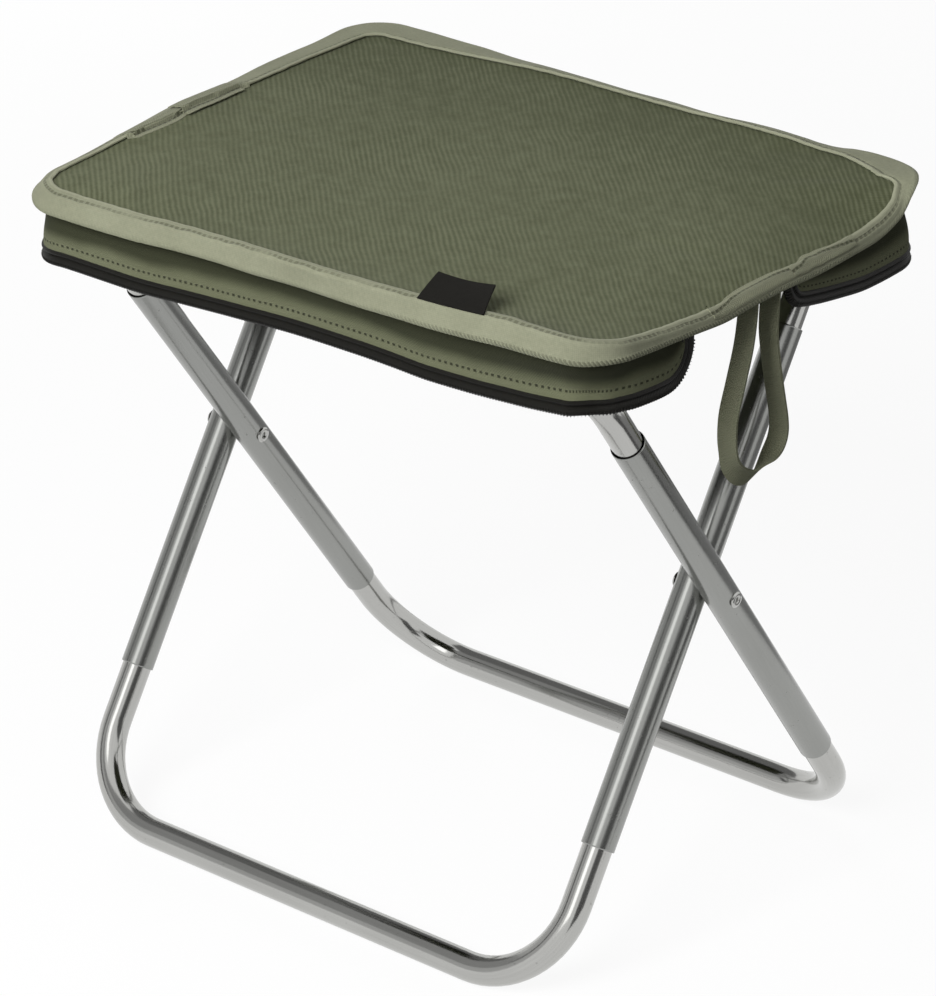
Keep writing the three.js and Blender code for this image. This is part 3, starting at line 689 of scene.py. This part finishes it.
def canvas_half(name, facing):
    rows = half_rows(facing)
    columns = 120

    def place(i, j):
        y = rows[j]
        share = 2 * i / columns - 1
        x = canvas_half_width(y) * (1.15 * share - 0.15 * share ** 3)
        inside, out_x, out_y = edge_distance(x, y)
        pull = max(0, fold_inset(x, y) + 0.5 * MM - CANVAS_INSET)
        pull *= 1 - ease((inside - CANVAS_INSET) / CANVAS_GATHER)
        x, y = x - pull * out_x, y - pull * out_y
        return [(x, y, canvas_height(x, y))]

    sheet = thicken(skin(name, columns, len(rows) - 1, place, level=True), CANVAS_THICKNESS, -1)
    return dress(sheet, CANVAS)


def tape_line(station):
    """Centre line of the folded tape: inset, height, direction and distance from its inner edge."""
    lean = radians(around(TAPE_LEAN, station.x, station.y))
    face = around(TAPE_FACE, station.x, station.y) * MM
    fold = fold_inset(station.x, station.y)
    flange = TAPE_FLANGE + noise.noise((station.x * 160, station.y * 160, 3)) * 0.5 * MM
    inner, outer = station.at(fold + flange, 0), station.at(fold, 0)
    low, high = canvas_height(inner.x, inner.y), canvas_height(outer.x, outer.y)
    flat = radians(88) + atan2(high - low, flange)
    raised = around(TAPE_LIFT, station.x, station.y) * MM
    lean += noise.noise((station.x * 30, station.y * 30, 5)) * radians(5)
    inset, height, gone = fold + flange, low + TAPE_HALF_THICKNESS * 0.6, 0
    step = (flange + face) / TAPE_STEPS
    line = []
    for k in range(TAPE_STEPS + 1):
        turn = ease((gone - flange + TAPE_FOLD / 2) / TAPE_FOLD)
        angle = flat * (1 - turn) + lean * turn
        line.append((inset, height + raised * (1 - ease(gone / TAPE_SEAM)), angle, gone))
        inset -= step * sin(angle)
        height -= step * cos(angle)
        gone += step
    return line


def tape_swell(station, gone, total):
    """The tape's half thickness: thin at both edges, sunk at the seam, fuller by its free edge."""
    body = min(1, gone / (1.2 * MM) + 0.35) * min(1, (total - gone) / (1 * MM) + 0.3)
    seam = max(0, 1 - abs(gone - TAPE_SEAM) / (1.3 * MM))
    whipped = max(0, 1 - abs(total - 1.6 * MM - gone) / (2 * MM))
    lump = sum(size * exp(-(dist((station.x, station.y), (x * MM, y * MM)) / (5 * MM)) ** 2)
               for x, y, size in TAPE_LUMPS)
    return TAPE_HALF_THICKNESS * (body * (1 + lump) - 0.42 * seam + 0.25 * whipped)


def tape_sections(stations):
    """Closed sections of the tape, its upper face first, each with its distance across the tape."""
    sections = []
    for station in stations:
        line = tape_line(station)
        total = line[-1][3]
        faces = []
        for side, points in ((-1, line), (1, line[::-1])):
            for inset, height, angle, gone in points:
                swell = side * tape_swell(station, gone, total)
                faces.append((inset + swell * cos(angle), height - swell * sin(angle),
                              gone, total - gone))
        sections.append(faces)
    return sections


def binding(name, facing):
    stations = outline(facing, spacing=2.2 * MM)
    sections = tape_sections(stations)
    count = len(sections[0])

    def place(i, j):
        inset, height, *from_edges = sections[j][i % count]
        return stations[j].at(inset, height), stations[j].along, *from_edges

    return dress(skin(name, count, len(stations) - 1, place), BINDING)


def zip_level(station):
    return CANVAS_TOP - ZIP_DEPTH + around(ZIP_RISE, station.x, station.y) * MM


def zip_tuck(station):
    return around(ZIP_TUCK, station.x, station.y) * MM


class Wall:
    """One half's wall: the way it faces, where it ends, how its end curves, and its flap."""

    def __init__(self, facing, end, curve, flap):
        self.facing, self.end, self.curve, self.flap = facing, end, curve, flap

    def stations(self, inside=0):
        """Outline stations, closer together where the wall's ends curve up to the binding."""
        side = []
        for k in range(10):
            past = inside + (self.curve - inside) * (1 - cos(pi / 2 * k / 10))
            side.append(SPINE_Y + self.facing * (self.end + past))
        rest = outline(self.facing, self.end + self.curve)
        right = [Station(SEAT_HALF_LENGTH, y, 1, 0) for y in side]
        left = [Station(-SEAT_HALF_LENGTH, y, -1, 0) for y in reversed(side)]
        return in_order(right + rest + left)

    def into_curve(self, station):
        return max(0, self.curve + self.end - station.from_spine) if station.on_side else 0

    def low_edge(self, station):
        """Height of the canvas's lower edge, a little over the zip's middle."""
        radius = self.curve - SKIRT_OVER_ZIP
        short = min(radius, self.into_curve(station))
        return zip_level(station) + self.curve - sqrt(radius ** 2 - short ** 2)

    def zip_point(self, station, inset, height):
        """A point of the zip's band, which turns square to its route where that curves up."""
        sine = min(1, self.into_curve(station) / self.curve)
        cosine = sqrt(1 - sine ** 2)
        centre = zip_level(station) + self.curve * (1 - cosine)
        spot = station.at(ZIP_INSET + zip_tuck(station) + inset, centre + height * cosine)
        spot.y += self.facing * height * sine
        return spot


def skirt(name, wall):
    """The canvas: from behind the tape out to the zip, and past the zip's ends up to the tape."""
    stations = wall.stations(SKIRT_OVER_ZIP)
    stations = stations[:1] + stations + stations[-1:]
    last = len(stations) - 1
    columns = 14

    def place(i, j):
        station = stations[j]
        share = i / columns
        top = station.at(SKIRT_TOP_INSET, 0)
        start = canvas_height(top.x, top.y) - WALL_BELOW_CANVAS
        edge = wall.low_edge(station)
        low = max(edge, start - FLAP_END_DEPTH) if j in (0, last) else edge
        fold = noise.noise((station.x * 24, station.y * 24, share * 1.5))
        swell = sin(pi * share) * fold * WALL_SWELL
        base = SKIRT_INSET + zip_tuck(station)
        inset = SKIRT_TOP_INSET + (base - SKIRT_TOP_INSET) * ease((share - 0.3) / 0.6) - swell
        spot = station.at(inset, start + (low - start) * share)
        if j in (0, last):
            spot.y -= wall.facing * (wall.flap + (2 * ZIP_HALF_WIDTH - wall.flap) * share)
        return spot, station.along, (CANVAS_TOP - edge) * (1 - share)

    return dress(thicken(skin(name, columns, last, place), WALL_THICKNESS), WALL)


# Outer face of the zip's band, then its back: inset past the band's own, and height over its middle
ZIP_SECTION = [(1, 3.2), (0.6, 2.9), (0.4, 2.3), (-0.2, 1.9), (-0.5, 1.2), (-0.2, 0.5), (0.7, 0.1),
               (0.9, -0.5), (0.3, -1), (-0.3, -1.7), (-0.5, -2.8), (-0.3, -3.9), (0.4, -4.7),
               (1.2, -5), (2, -4.6), (2.5, -3.4), (2.3, -1), (1.9, 1), (1.8, 2.9), (1.4, 3.2)]


def zip_band(name, wall):
    stations = wall.stations()
    count = len(ZIP_SECTION)
    last = len(stations) - 1

    def place(i, j):
        inset, height = ZIP_SECTION[i % count]
        station = stations[min(last, max(0, j - 1))]
        spot = wall.zip_point(station, inset * MM, height * MM)
        if j in (0, last + 2):
            tape, rise = (around(table, station.x, station.y) for table in (TAPE_FACE, EDGE_RISE))
            spot.z = CANVAS_TOP + (rise - ZIP_END_COVER * tape) * MM
        return spot, station.along, height * MM

    return dress(skin(name, count, last + 2, place, capped=True), ZIP_TAPE)


def coil_tooth():
    """One turn of the zip's coil, bent under the band's lower edge."""
    mesh = bmesh.new()
    made_ring = bmesh.ops.create_circle(mesh, segments=5, radius=0.42 * MM,
                                        matrix=Matrix.Translation((1.75 * MM, 0, 0))
                                        @ Matrix.Rotation(pi / 2, 4, "X"))
    ring = made_ring["verts"]
    edges = list({edge for vertex in ring for edge in vertex.link_edges})
    bmesh.ops.spin(mesh, geom=ring + edges, cent=(0, 0, 0), axis=(0, 1, 0.18), angle=pi,
                   steps=6, use_merge=False)
    bmesh.ops.recalc_face_normals(mesh, faces=mesh.faces)
    data = bpy.data.meshes.new("coil_tooth")
    mesh.to_mesh(data)
    mesh.free()
    return data


def zip_coil(name, wall):
    """The coil's turns along the lower edge of the band."""
    stations = wall.stations()
    tooth = coil_tooth()
    mesh = bmesh.new()
    gone = 0
    for before, after in zip(stations, stations[1:]):
        start, end = (wall.zip_point(at, COIL_INSET, -COIL_DROP) for at in (before, after))
        lower = wall.zip_point(before, COIL_INSET, -COIL_DROP - 1 * MM)
        route = (end - start).normalized()
        down = (lower - start).normalized()
        out = route.cross(down).normalized()
        turn = Matrix((out, route, -down)).transposed().to_4x4()
        length = (end - start).length
        while gone < length:
            spot = start.lerp(end, gone / length)
            old = len(mesh.verts)
            mesh.from_mesh(tooth)
            mesh.verts.ensure_lookup_table()
            bmesh.ops.transform(mesh, matrix=Matrix.Translation(spot) @ turn,
                                verts=mesh.verts[old:])
            gone += TOOTH_PITCH
        gone -= length
    return dress(made(name, mesh), ZIP_COIL)


back_cloth = canvas_half("back_seat_cloth", 1)
front_cloth = canvas_half("front_seat_cloth", -1)
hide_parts("back_canvas", "spine_canvas")
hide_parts("front_canvas")
back_tape = binding("back_binding_tape", 1)
front_tape = binding("front_binding_tape", -1)
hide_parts("back_binding", "left_spine_binding", "right_spine_binding")
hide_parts("front_binding")


def bend_at_crease(piece, facing):
    """Bakes a piece's place into its mesh; it does not bend the piece about the crease."""
    crease = SPINE_Y + facing * CREASE_FROM_SPINE
    near = (0, crease - facing * CREASE_SOFTNESS, CANVAS_TOP)
    far = (0, crease + facing * CREASE_SOFTNESS, CANVAS_TOP)
    if facing > 0:
        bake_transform(piece)
    else:
        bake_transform(piece)
    return piece


for cloth, facing in ((back_cloth, 1), (back_tape, 1), (front_cloth, -1), (front_tape, -1)):
    bend_at_crease(cloth, facing)

for side, shape in (("back", Wall(1, BACK_WALL_END, BACK_WALL_CURVE, BACK_SKIRT_FLAP)),
                    ("front", Wall(-1, FRONT_WALL_END, FRONT_WALL_CURVE, FRONT_SKIRT_FLAP))):
    wall = skirt(side + "_wall", shape)
    band = zip_band(side + "_zip_band", shape)
    coil = zip_coil(side + "_zip_coil", shape)
    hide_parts(side + "_skirt")
    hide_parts(side + "_zip")
    for piece in (wall, band, coil):
        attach(piece, side + "_half")
        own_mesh(piece)
    shape.stations()[-1].along


# Webbing over the spine's ends


def webbing_over_edge(name, sideways, facing, reaches, lift, drop):
    """One half's share of a strip folded over the binding, from the canvas down its outer face."""
    first, last = min(reaches) * MM, max(reaches) * MM
    start, stop = (max(first, SPINE_Y), last) if facing > 0 else (first, min(last, SPINE_Y))
    rows = round((stop - start) / (1.5 * MM))
    stations = []
    for k in range(rows + 1):
        y = start + (stop - start) * k / rows
        stations.append(Station(sideways * SEAT_HALF_LENGTH, y, sideways, 0))
        stations[-1].along = y - first
    lines = [tape_line(station) for station in stations]
    columns = 18

    def place(i, j):
        station, line = stations[j], lines[j]
        reach = read(reaches, station.y / MM) * MM
        across = (reach + drop) * i / columns
        gone = across - reach
        if gone < 0:
            spot = station.at(line[0][0] - gone, 0)
            spot.z = canvas_height(spot.x, spot.y) + lift
            return spot, station.along, across
        k = max(at for at in range(TAPE_STEPS) if line[at][3] <= gone)
        (inset, height, angle, before), (next_inset, next_height, _, after) = line[k:k + 2]
        part = (gone - before) / (after - before)
        swell = tape_swell(station, gone, line[-1][3]) + lift
        inset += (next_inset - inset) * part - swell * cos(angle)
        height += (next_height - height) * part + swell * sin(angle)
        return station.at(inset, height), station.along, across

    strip = thicken(skin(name, columns, rows, place), PATCH_THICKNESS)
    return bend_at_crease(dress(strip, PATCH_WEBBING), facing)


for side_name, sideways, reaches, top_reaches, top_lift, drop in (
        ("left", -1, LEFT_PATCH, LEFT_TOP_PATCH, 1.3 * MM, 9 * MM),
        ("right", 1, RIGHT_PATCH, RIGHT_SECOND_PATCH, 0.3 * MM, 5.5 * MM)):
    for half, facing in (("front", -1), ("back", 1)):
        base = webbing_over_edge(f"{side_name}_{half}_spine_webbing", sideways, facing, reaches,
                                 PATCH_LIFT, drop)
        if facing < 0:
            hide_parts(side_name + "_spine_patch")
        if min(top_reaches) < SPINE_Y / MM or facing > 0:
            webbing_over_edge(f"{side_name}_{half}_webbing_end", sideways, facing, top_reaches,
                              top_lift, drop - 0.5 * MM)


def pull_loop(name, sideways, top):
    """A flat webbing strap, both ends sewn in behind the binding at this height."""
    knots = [Vector((sideways * LOOP_X, LOOP_CENTRE_Y + aside * LOOP_BREADTH / 2,
                     min(top, LOOP_TOP - down * LOOP_LENGTH))) for aside, down in LOOP_ROUTE]
    route = []
    spread = knots[:1] + knots + knots[-1:]
    for before, start, end, after in zip(spread, spread[1:], spread[2:], spread[3:]):
        route += geometry.interpolate_bezier(start, start + (end - before) / 6,
                                             end - (after - start) / 6, end, 6)[:-1]
    route.append(knots[-1])
    columns = 6
    gone = distances(route)

    def place(i, j):
        share = i / columns - 0.5
        ahead = (route[min(j + 1, len(route) - 1)] - route[max(j - 1, 0)]).normalized()
        turn = sideways * radians(read(LOOP_TWIST, gone[j] / gone[-1]))
        aside = Matrix.Rotation(turn, 3, ahead) @ Vector((share * LOOP_WIDTH, 0, 0))
        return route[j] + aside, gone[j], i / columns * LOOP_WIDTH

    strap = skin(name, columns, len(route) - 1, place)
    return dress(thicken(strap, LOOP_THICKNESS), LOOP_WEBBING)


for side_name, sideways, top in (("left", -1, LOOP_TOP), ("right", 1, LOOP_TOP - RIGHT_LOOP_LOWER)):
    strap = pull_loop(side_name + "_pull_strap", sideways, top)
    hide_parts(side_name + "_pull_loop")
    side_name + "_loop"
    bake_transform(strap)


# Tubes


def frame_place(turned):
    """Where a tube frame's plane stands: the back frame as it is, the front one turned round."""
    turn = Matrix.Rotation(pi if turned else 0, 4, "Z")
    pivot = Matrix.Translation((-LEG_OFFSET, 0, PIVOT_HEIGHT))
    return Matrix.Translation(FRAME_SHIFT) @ turn @ pivot @ Matrix.Rotation(-LEG_LEAN, 4, "X")


def bent_tube(name, turned, rising, start_reach, bar_reach):
    """A U-shaped tube: legs, bends and bar, swept round its centre line."""
    stops = [(-HALF_SPAN, start_reach, 0), (-HALF_SPAN, bar_reach - BEND_RADIUS - 1 * MM, 0)]
    for k in range(17):
        angle = pi / 2 * k / 16
        stops.append((-HALF_SPAN + BEND_RADIUS * (1 - cos(angle)),
                      bar_reach - BEND_RADIUS + BEND_RADIUS * sin(angle), angle))
    stops.append((BEND_RADIUS + 1 * MM - HALF_SPAN, bar_reach, pi / 2))
    stops += [(-x, reach, pi - angle) for x, reach, angle in reversed(stops)]
    gone = distances([stop[:2] for stop in stops])
    sides = 32

    def place(i, j):
        x, reach, angle = stops[j]
        turn = 2 * pi * i / sides
        aside = TUBE_RADIUS * cos(turn)
        spot = (x - aside * cos(angle), TUBE_RADIUS * sin(turn),
                rising * (reach + aside * sin(angle)))
        return spot, gone[j], TUBE_RADIUS * turn

    tube = skin(name, sides, len(stops) - 1, place)
    tube.data.transform(frame_place(turned))
    return dress(thicken(tube, TUBE_WALL, -1), STEEL)


def turned_piece(name, profile, matrix, steps, finish):
    """A closed profile of (radius, distance along the axis) pairs, spun about the axis."""
    mesh = bmesh.new()
    along = mesh.verts.layers.float.new("along")
    across = mesh.verts.layers.float.new("across")
    ring = [mesh.verts.new((radius, 0, distance)) for radius, distance in profile]
    edges = [mesh.edges.new(pair) for pair in zip(ring, ring[1:] + ring[:1])]
    bmesh.ops.spin(mesh, geom=ring + edges, cent=(0, 0, 0), axis=(0, 0, 1), angle=2 * pi,
                   steps=steps, use_merge=True)
    for vertex in mesh.verts:
        vertex[along] = vertex.co.z
        vertex[across] = atan2(vertex.co.y, vertex.co.x) * SLEEVE_RADIUS
    bmesh.ops.recalc_face_normals(mesh, faces=mesh.faces)
    bmesh.ops.transform(mesh, matrix=matrix, verts=mesh.verts)
    return dress(made(name, mesh), finish)


def sleeve(name, turned, x, drop):
    lip, flare, mouth = 0.25 * MM, 0.2 * MM, 0.8 * MM
    half = []
    for end in (-drop, SLEEVE_RISE):
        inwards = copysign(1, -end)
        rim = [(SLEEVE_RADIUS, end + inwards * 3 * lip), (SLEEVE_RADIUS, end + inwards * lip),
               (SLEEVE_RADIUS - lip * 0.6, end), (SLEEVE_BORE + flare, end),
               (SLEEVE_BORE, end + inwards * mouth), (SLEEVE_BORE, end + inwards * 2 * mouth)]
        half.append(rim)
    profile = half[0] + half[1][::-1]
    matrix = frame_place(turned) @ Matrix.Translation((x, 0, 0))
    return turned_piece(name, profile, matrix, 48, SATIN)


def rivet(name, x):
    """A tubular rivet through both sleeves, rolled over at each end."""
    tip = RIVET_SEAT + RIVET_HEAD_HEIGHT
    crown = (RIVET_HEAD_RADIUS + RIVET_BORE) / 2
    half = [(RIVET_RADIUS, RIVET_SEAT - 0.3 * MM), (RIVET_HEAD_RADIUS, RIVET_SEAT - 0.3 * MM),
            (RIVET_HEAD_RADIUS * 1.02, RIVET_SEAT + 0.1 * MM),
            (RIVET_HEAD_RADIUS * 0.93, tip - 0.3 * MM),
            (crown, tip), (RIVET_BORE * 1.25, tip - 0.2 * MM), (RIVET_BORE, tip - 0.6 * MM)]
    profile = half + [(radius, -along) for radius, along in reversed(half)]
    place = Matrix.Translation(FRAME_SHIFT + Vector((x, 0, PIVOT_HEIGHT)))
    matrix = place @ Matrix.Rotation(pi / 2, 4, "Y")
    return turned_piece(name, profile, matrix, 32, STEEL)


def bar_tunnel(name, turned):
    """The cloth sleeve sewn under the canvas round a bar, a little slack and wrinkled."""
    half = HALF_SPAN - BEND_RADIUS - 3 * MM
    columns, rows = 28, 70

    def place(i, j):
        turn = 2 * pi * i / columns
        x = -half + 2 * half * j / rows
        crease = noise.noise((x * 60, cos(turn) * 0.8, sin(turn) * 0.8))
        radius = TUNNEL_RADIUS + (0.15 + 0.22 * crease) * MM
        spot = (x, radius * cos(turn), SEAT_REACH + radius * sin(turn))
        return spot, x + half, TUNNEL_RADIUS * turn

    cloth = skin(name, columns, rows, place)
    cloth.data.transform(frame_place(turned))
    return dress(thicken(cloth, TUNNEL_THICKNESS), WALL)


for name, turned, x, drop in (("back_left", False, -HALF_SPAN, BACK_SLEEVE_DROP),
                              ("back_right", False, HALF_SPAN, BACK_SLEEVE_DROP),
                              ("front_right", True, -HALF_SPAN, FRONT_SLEEVE_DROP),
                              ("front_left", True, HALF_SPAN, FRONT_SLEEVE_DROP)):
    piece = sleeve(name + "_sleeve_tube", turned, x, drop)
    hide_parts(name + "_sleeve")
    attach(piece, "front_frame" if turned else "back_frame")

for name, turned, rising, start, reach, body in (
        ("back_seat", False, 1, SLEEVE_RISE - TUBE_INSERTION, SEAT_REACH, "back_frame"),
        ("front_foot", False, -1, BACK_SLEEVE_DROP - TUBE_INSERTION, FOOT_REACH, "front_foot"),
        ("front_seat", True, 1, SLEEVE_RISE - TUBE_INSERTION, SEAT_REACH, "front_frame"),
        ("back_foot", True, -1, FRONT_SLEEVE_DROP - TUBE_INSERTION, FOOT_REACH, "back_foot")):
    piece = bent_tube(name + "_bent_tube", turned, rising, start, reach)
    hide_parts(name + "_tube")
    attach(piece, body)

for name, x in (("left", -HALF_SPAN), ("right", HALF_SPAN)):
    piece = rivet(name + "_tubular_rivet", x)
    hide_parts(name + "_rivet")
    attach(piece, "back_frame")

for side, turned in (("back", False), ("front", True)):
    piece = bar_tunnel(side + "_bar_tunnel", turned)
    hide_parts(side + "_tunnel")
    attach(piece, side + "_frame")


# Label, slider and pull


def label():
    """A blank woven ribbon, folded double and sewn in under the front tape."""
    columns, rows = 24, 12
    y = LABEL_INSET - SEAT_HALF_DEPTH

    def place(i, j):
        x = LABEL_LEFT + LABEL_LENGTH * i / columns
        share = j / rows
        slope = LABEL_SLOPE - LABEL_FLATTENS * share
        away = LABEL_WIDTH * share
        curl = sin(pi * i / columns) * LABEL_CURL * share
        aside = ((0.5 - i / columns) * LABEL_NARROWS - LABEL_SHIFTS) * share
        height = canvas_height(x, y) + LABEL_LIFT + away * sin(slope) - curl
        return (x + aside, y + away * cos(slope), height), x - LABEL_LEFT, away

    ribbon = skin("blank_label", columns, rows, place)
    return dress(thicken(ribbon, LABEL_THICKNESS), LABEL)


tag = label()
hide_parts("label")
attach(tag, "front_half")
for node in ("zip_slider", "zip_pull"):
    dress(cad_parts[node], PAINT)


# Studio


def rays(nodes, *kinds):
    """1 for the kinds of ray that are named, 0 for the others."""
    path = nodes.node("Light Path").socket.node
    share, *others = (Value(nodes, path.outputs[f"Is {kind} Ray"]) for kind in kinds)
    for other in others:
        share = share.maths("MAXIMUM", other)
    return share


def on_stage(name, size, shade):
    """A flat rectangle of the set, whose material is the shader that shade adds to its nodes."""
    mesh = bmesh.new()
    bmesh.ops.create_grid(mesh, x_segments=1, y_segments=1, size=0.5)
    bmesh.ops.scale(mesh, vec=(*size, 1), verts=mesh.verts)
    piece = made(name, mesh)
    material = bpy.data.materials.new(name)
    nodes = Nodes(material)
    nodes.tree.nodes.clear()
    nodes.node("Output Material", None, shade(nodes))
    piece.data.materials.append(material)
    return piece


def floor_shader(nodes):
    """White to the camera and to mirrors, but it throws back little light onto the stool."""
    seen = rays(nodes, "Camera", "Glossy", "Transmission")
    tone = nodes.node("Map Range", None, Value=seen, To_Min=FLOOR_LIT, To_Max=FLOOR_SEEN)
    return nodes.node("Mix Shader", None, seen * FLOOR_GLOW, nodes.node("Bsdf Diffuse", None, tone),
                      nodes.node("Emission"))


def world_light():
    world = bpy.data.worlds.new("studio")
    bpy.context.scene.world = world
    nodes = Nodes(world)
    strength = nodes.node("Map Range", None, Value=rays(nodes, "Camera", "Glossy"),
                          To_Min=WORLD_LEVEL, To_Max=1.0)
    background = nodes.tree.nodes["Background"]
    nodes.feed(background.inputs["Strength"], strength)
    background.inputs["Color"].default_value = (1, 1, 1, 1)


def softbox(name, azimuth, elevation, distance, size, power):
    """A soft lamp turned to the stool, at angles in degrees."""
    lamp = bpy.data.lights.new(name, "AREA")
    lamp.shape = "SQUARE"
    lamp.size = size
    lamp.energy = power
    piece = bpy.data.objects.new(name, lamp)
    piece.visible_glossy = False
    piece.visible_camera = False
    a, e = radians(azimuth), radians(elevation)
    away = Vector((cos(a) * cos(e), sin(a) * cos(e), sin(e)))
    piece.location = STOOL_MIDDLE + distance * away
    piece.rotation_euler = (STOOL_MIDDLE - piece.location).to_track_quat("-Z", "Y").to_euler()
    bpy.context.scene.collection.objects.link(piece)


def card(name, level, azimuths, elevations, distance=5):
    """A card by the set, seen only in polished tubes: it stands, or lies if it is below them."""
    middle, half_turn = radians(sum(azimuths) / 2), radians(azimuths[1] - azimuths[0]) / 2
    low, high = (distance * tan(radians(elevation)) for elevation in elevations)
    lying = high < 0
    if lying:
        low, high = (-STOOL_MIDDLE.z / tan(radians(angle)) for angle in elevations)
        distance = (low + high) / 2
    # A card that lies has its own height, so that no two share one plane
    piece = on_stage(name, (2 * distance * tan(half_turn), high - low),
                     lambda nodes: nodes.node("Emission", None, Strength=level))
    height = (0.5 + level) * MM if lying else STOOL_MIDDLE.z + (low + high) / 2
    piece.location = (distance * cos(middle), distance * sin(middle), height)
    piece.rotation_euler = (0 if lying else pi / 2, 0, middle - pi / 2)
    for ray in ("camera", "diffuse", "shadow", "transmission"):
        setattr(piece, "visible_" + ray, False)


def camera():
    data = bpy.data.cameras.new("camera")
    data.lens = CAMERA_LENS
    data.sensor_width = CAMERA_SENSOR
    piece = bpy.data.objects.new("camera", data)
    bpy.context.scene.collection.objects.link(piece)
    a, e, r = CAMERA_AZIMUTH, CAMERA_ELEVATION, CAMERA_ROLL
    back = Vector((sin(a) * cos(e), -cos(a) * cos(e), sin(e)))
    right = (-back).cross(Vector((0, 0, 1))).normalized()
    up = right.cross(-back)
    turned_right = cos(r) * right + sin(r) * up
    turned_up = cos(r) * up - sin(r) * right
    turn = Matrix((turned_right, turned_up, back)).transposed().to_4x4()
    piece.matrix_world = Matrix.Translation(CAMERA_PLACE) @ turn
    bpy.context.scene.camera = piece


on_stage("floor", (FLOOR_SIZE, FLOOR_SIZE), floor_shader).location.z = -FLOOR_BELOW
world_light()
softbox("key", -85, 37, 1.75, 0.9, 32)
softbox("fill", 145, 12, 2.2, 0.8, 16)
card("front_softbox", 2.4, (-94, -71), (22, 50))
card("right_flag", 0.13, (-45, 8), (-1, 22))
card("left_card", 0.62, (-180, -112), (5, 29), 5.2)
card("left_high_card", 0.38, (-180, -112), (29, 72), 5.2)
card("back_left_card", 0.2, (118, 180), (24, 72), 5.2)
card("left_flag", 0.1, (-145, -137), (5, 29), 4.8)
card("floor_flag", 0.3, (40, 110), (-27, -9))
card("side_floor_flag", 0.12, (8, 62), (-25, -12))
camera()
bpy.context.scene.view_settings.view_transform = "Standard"
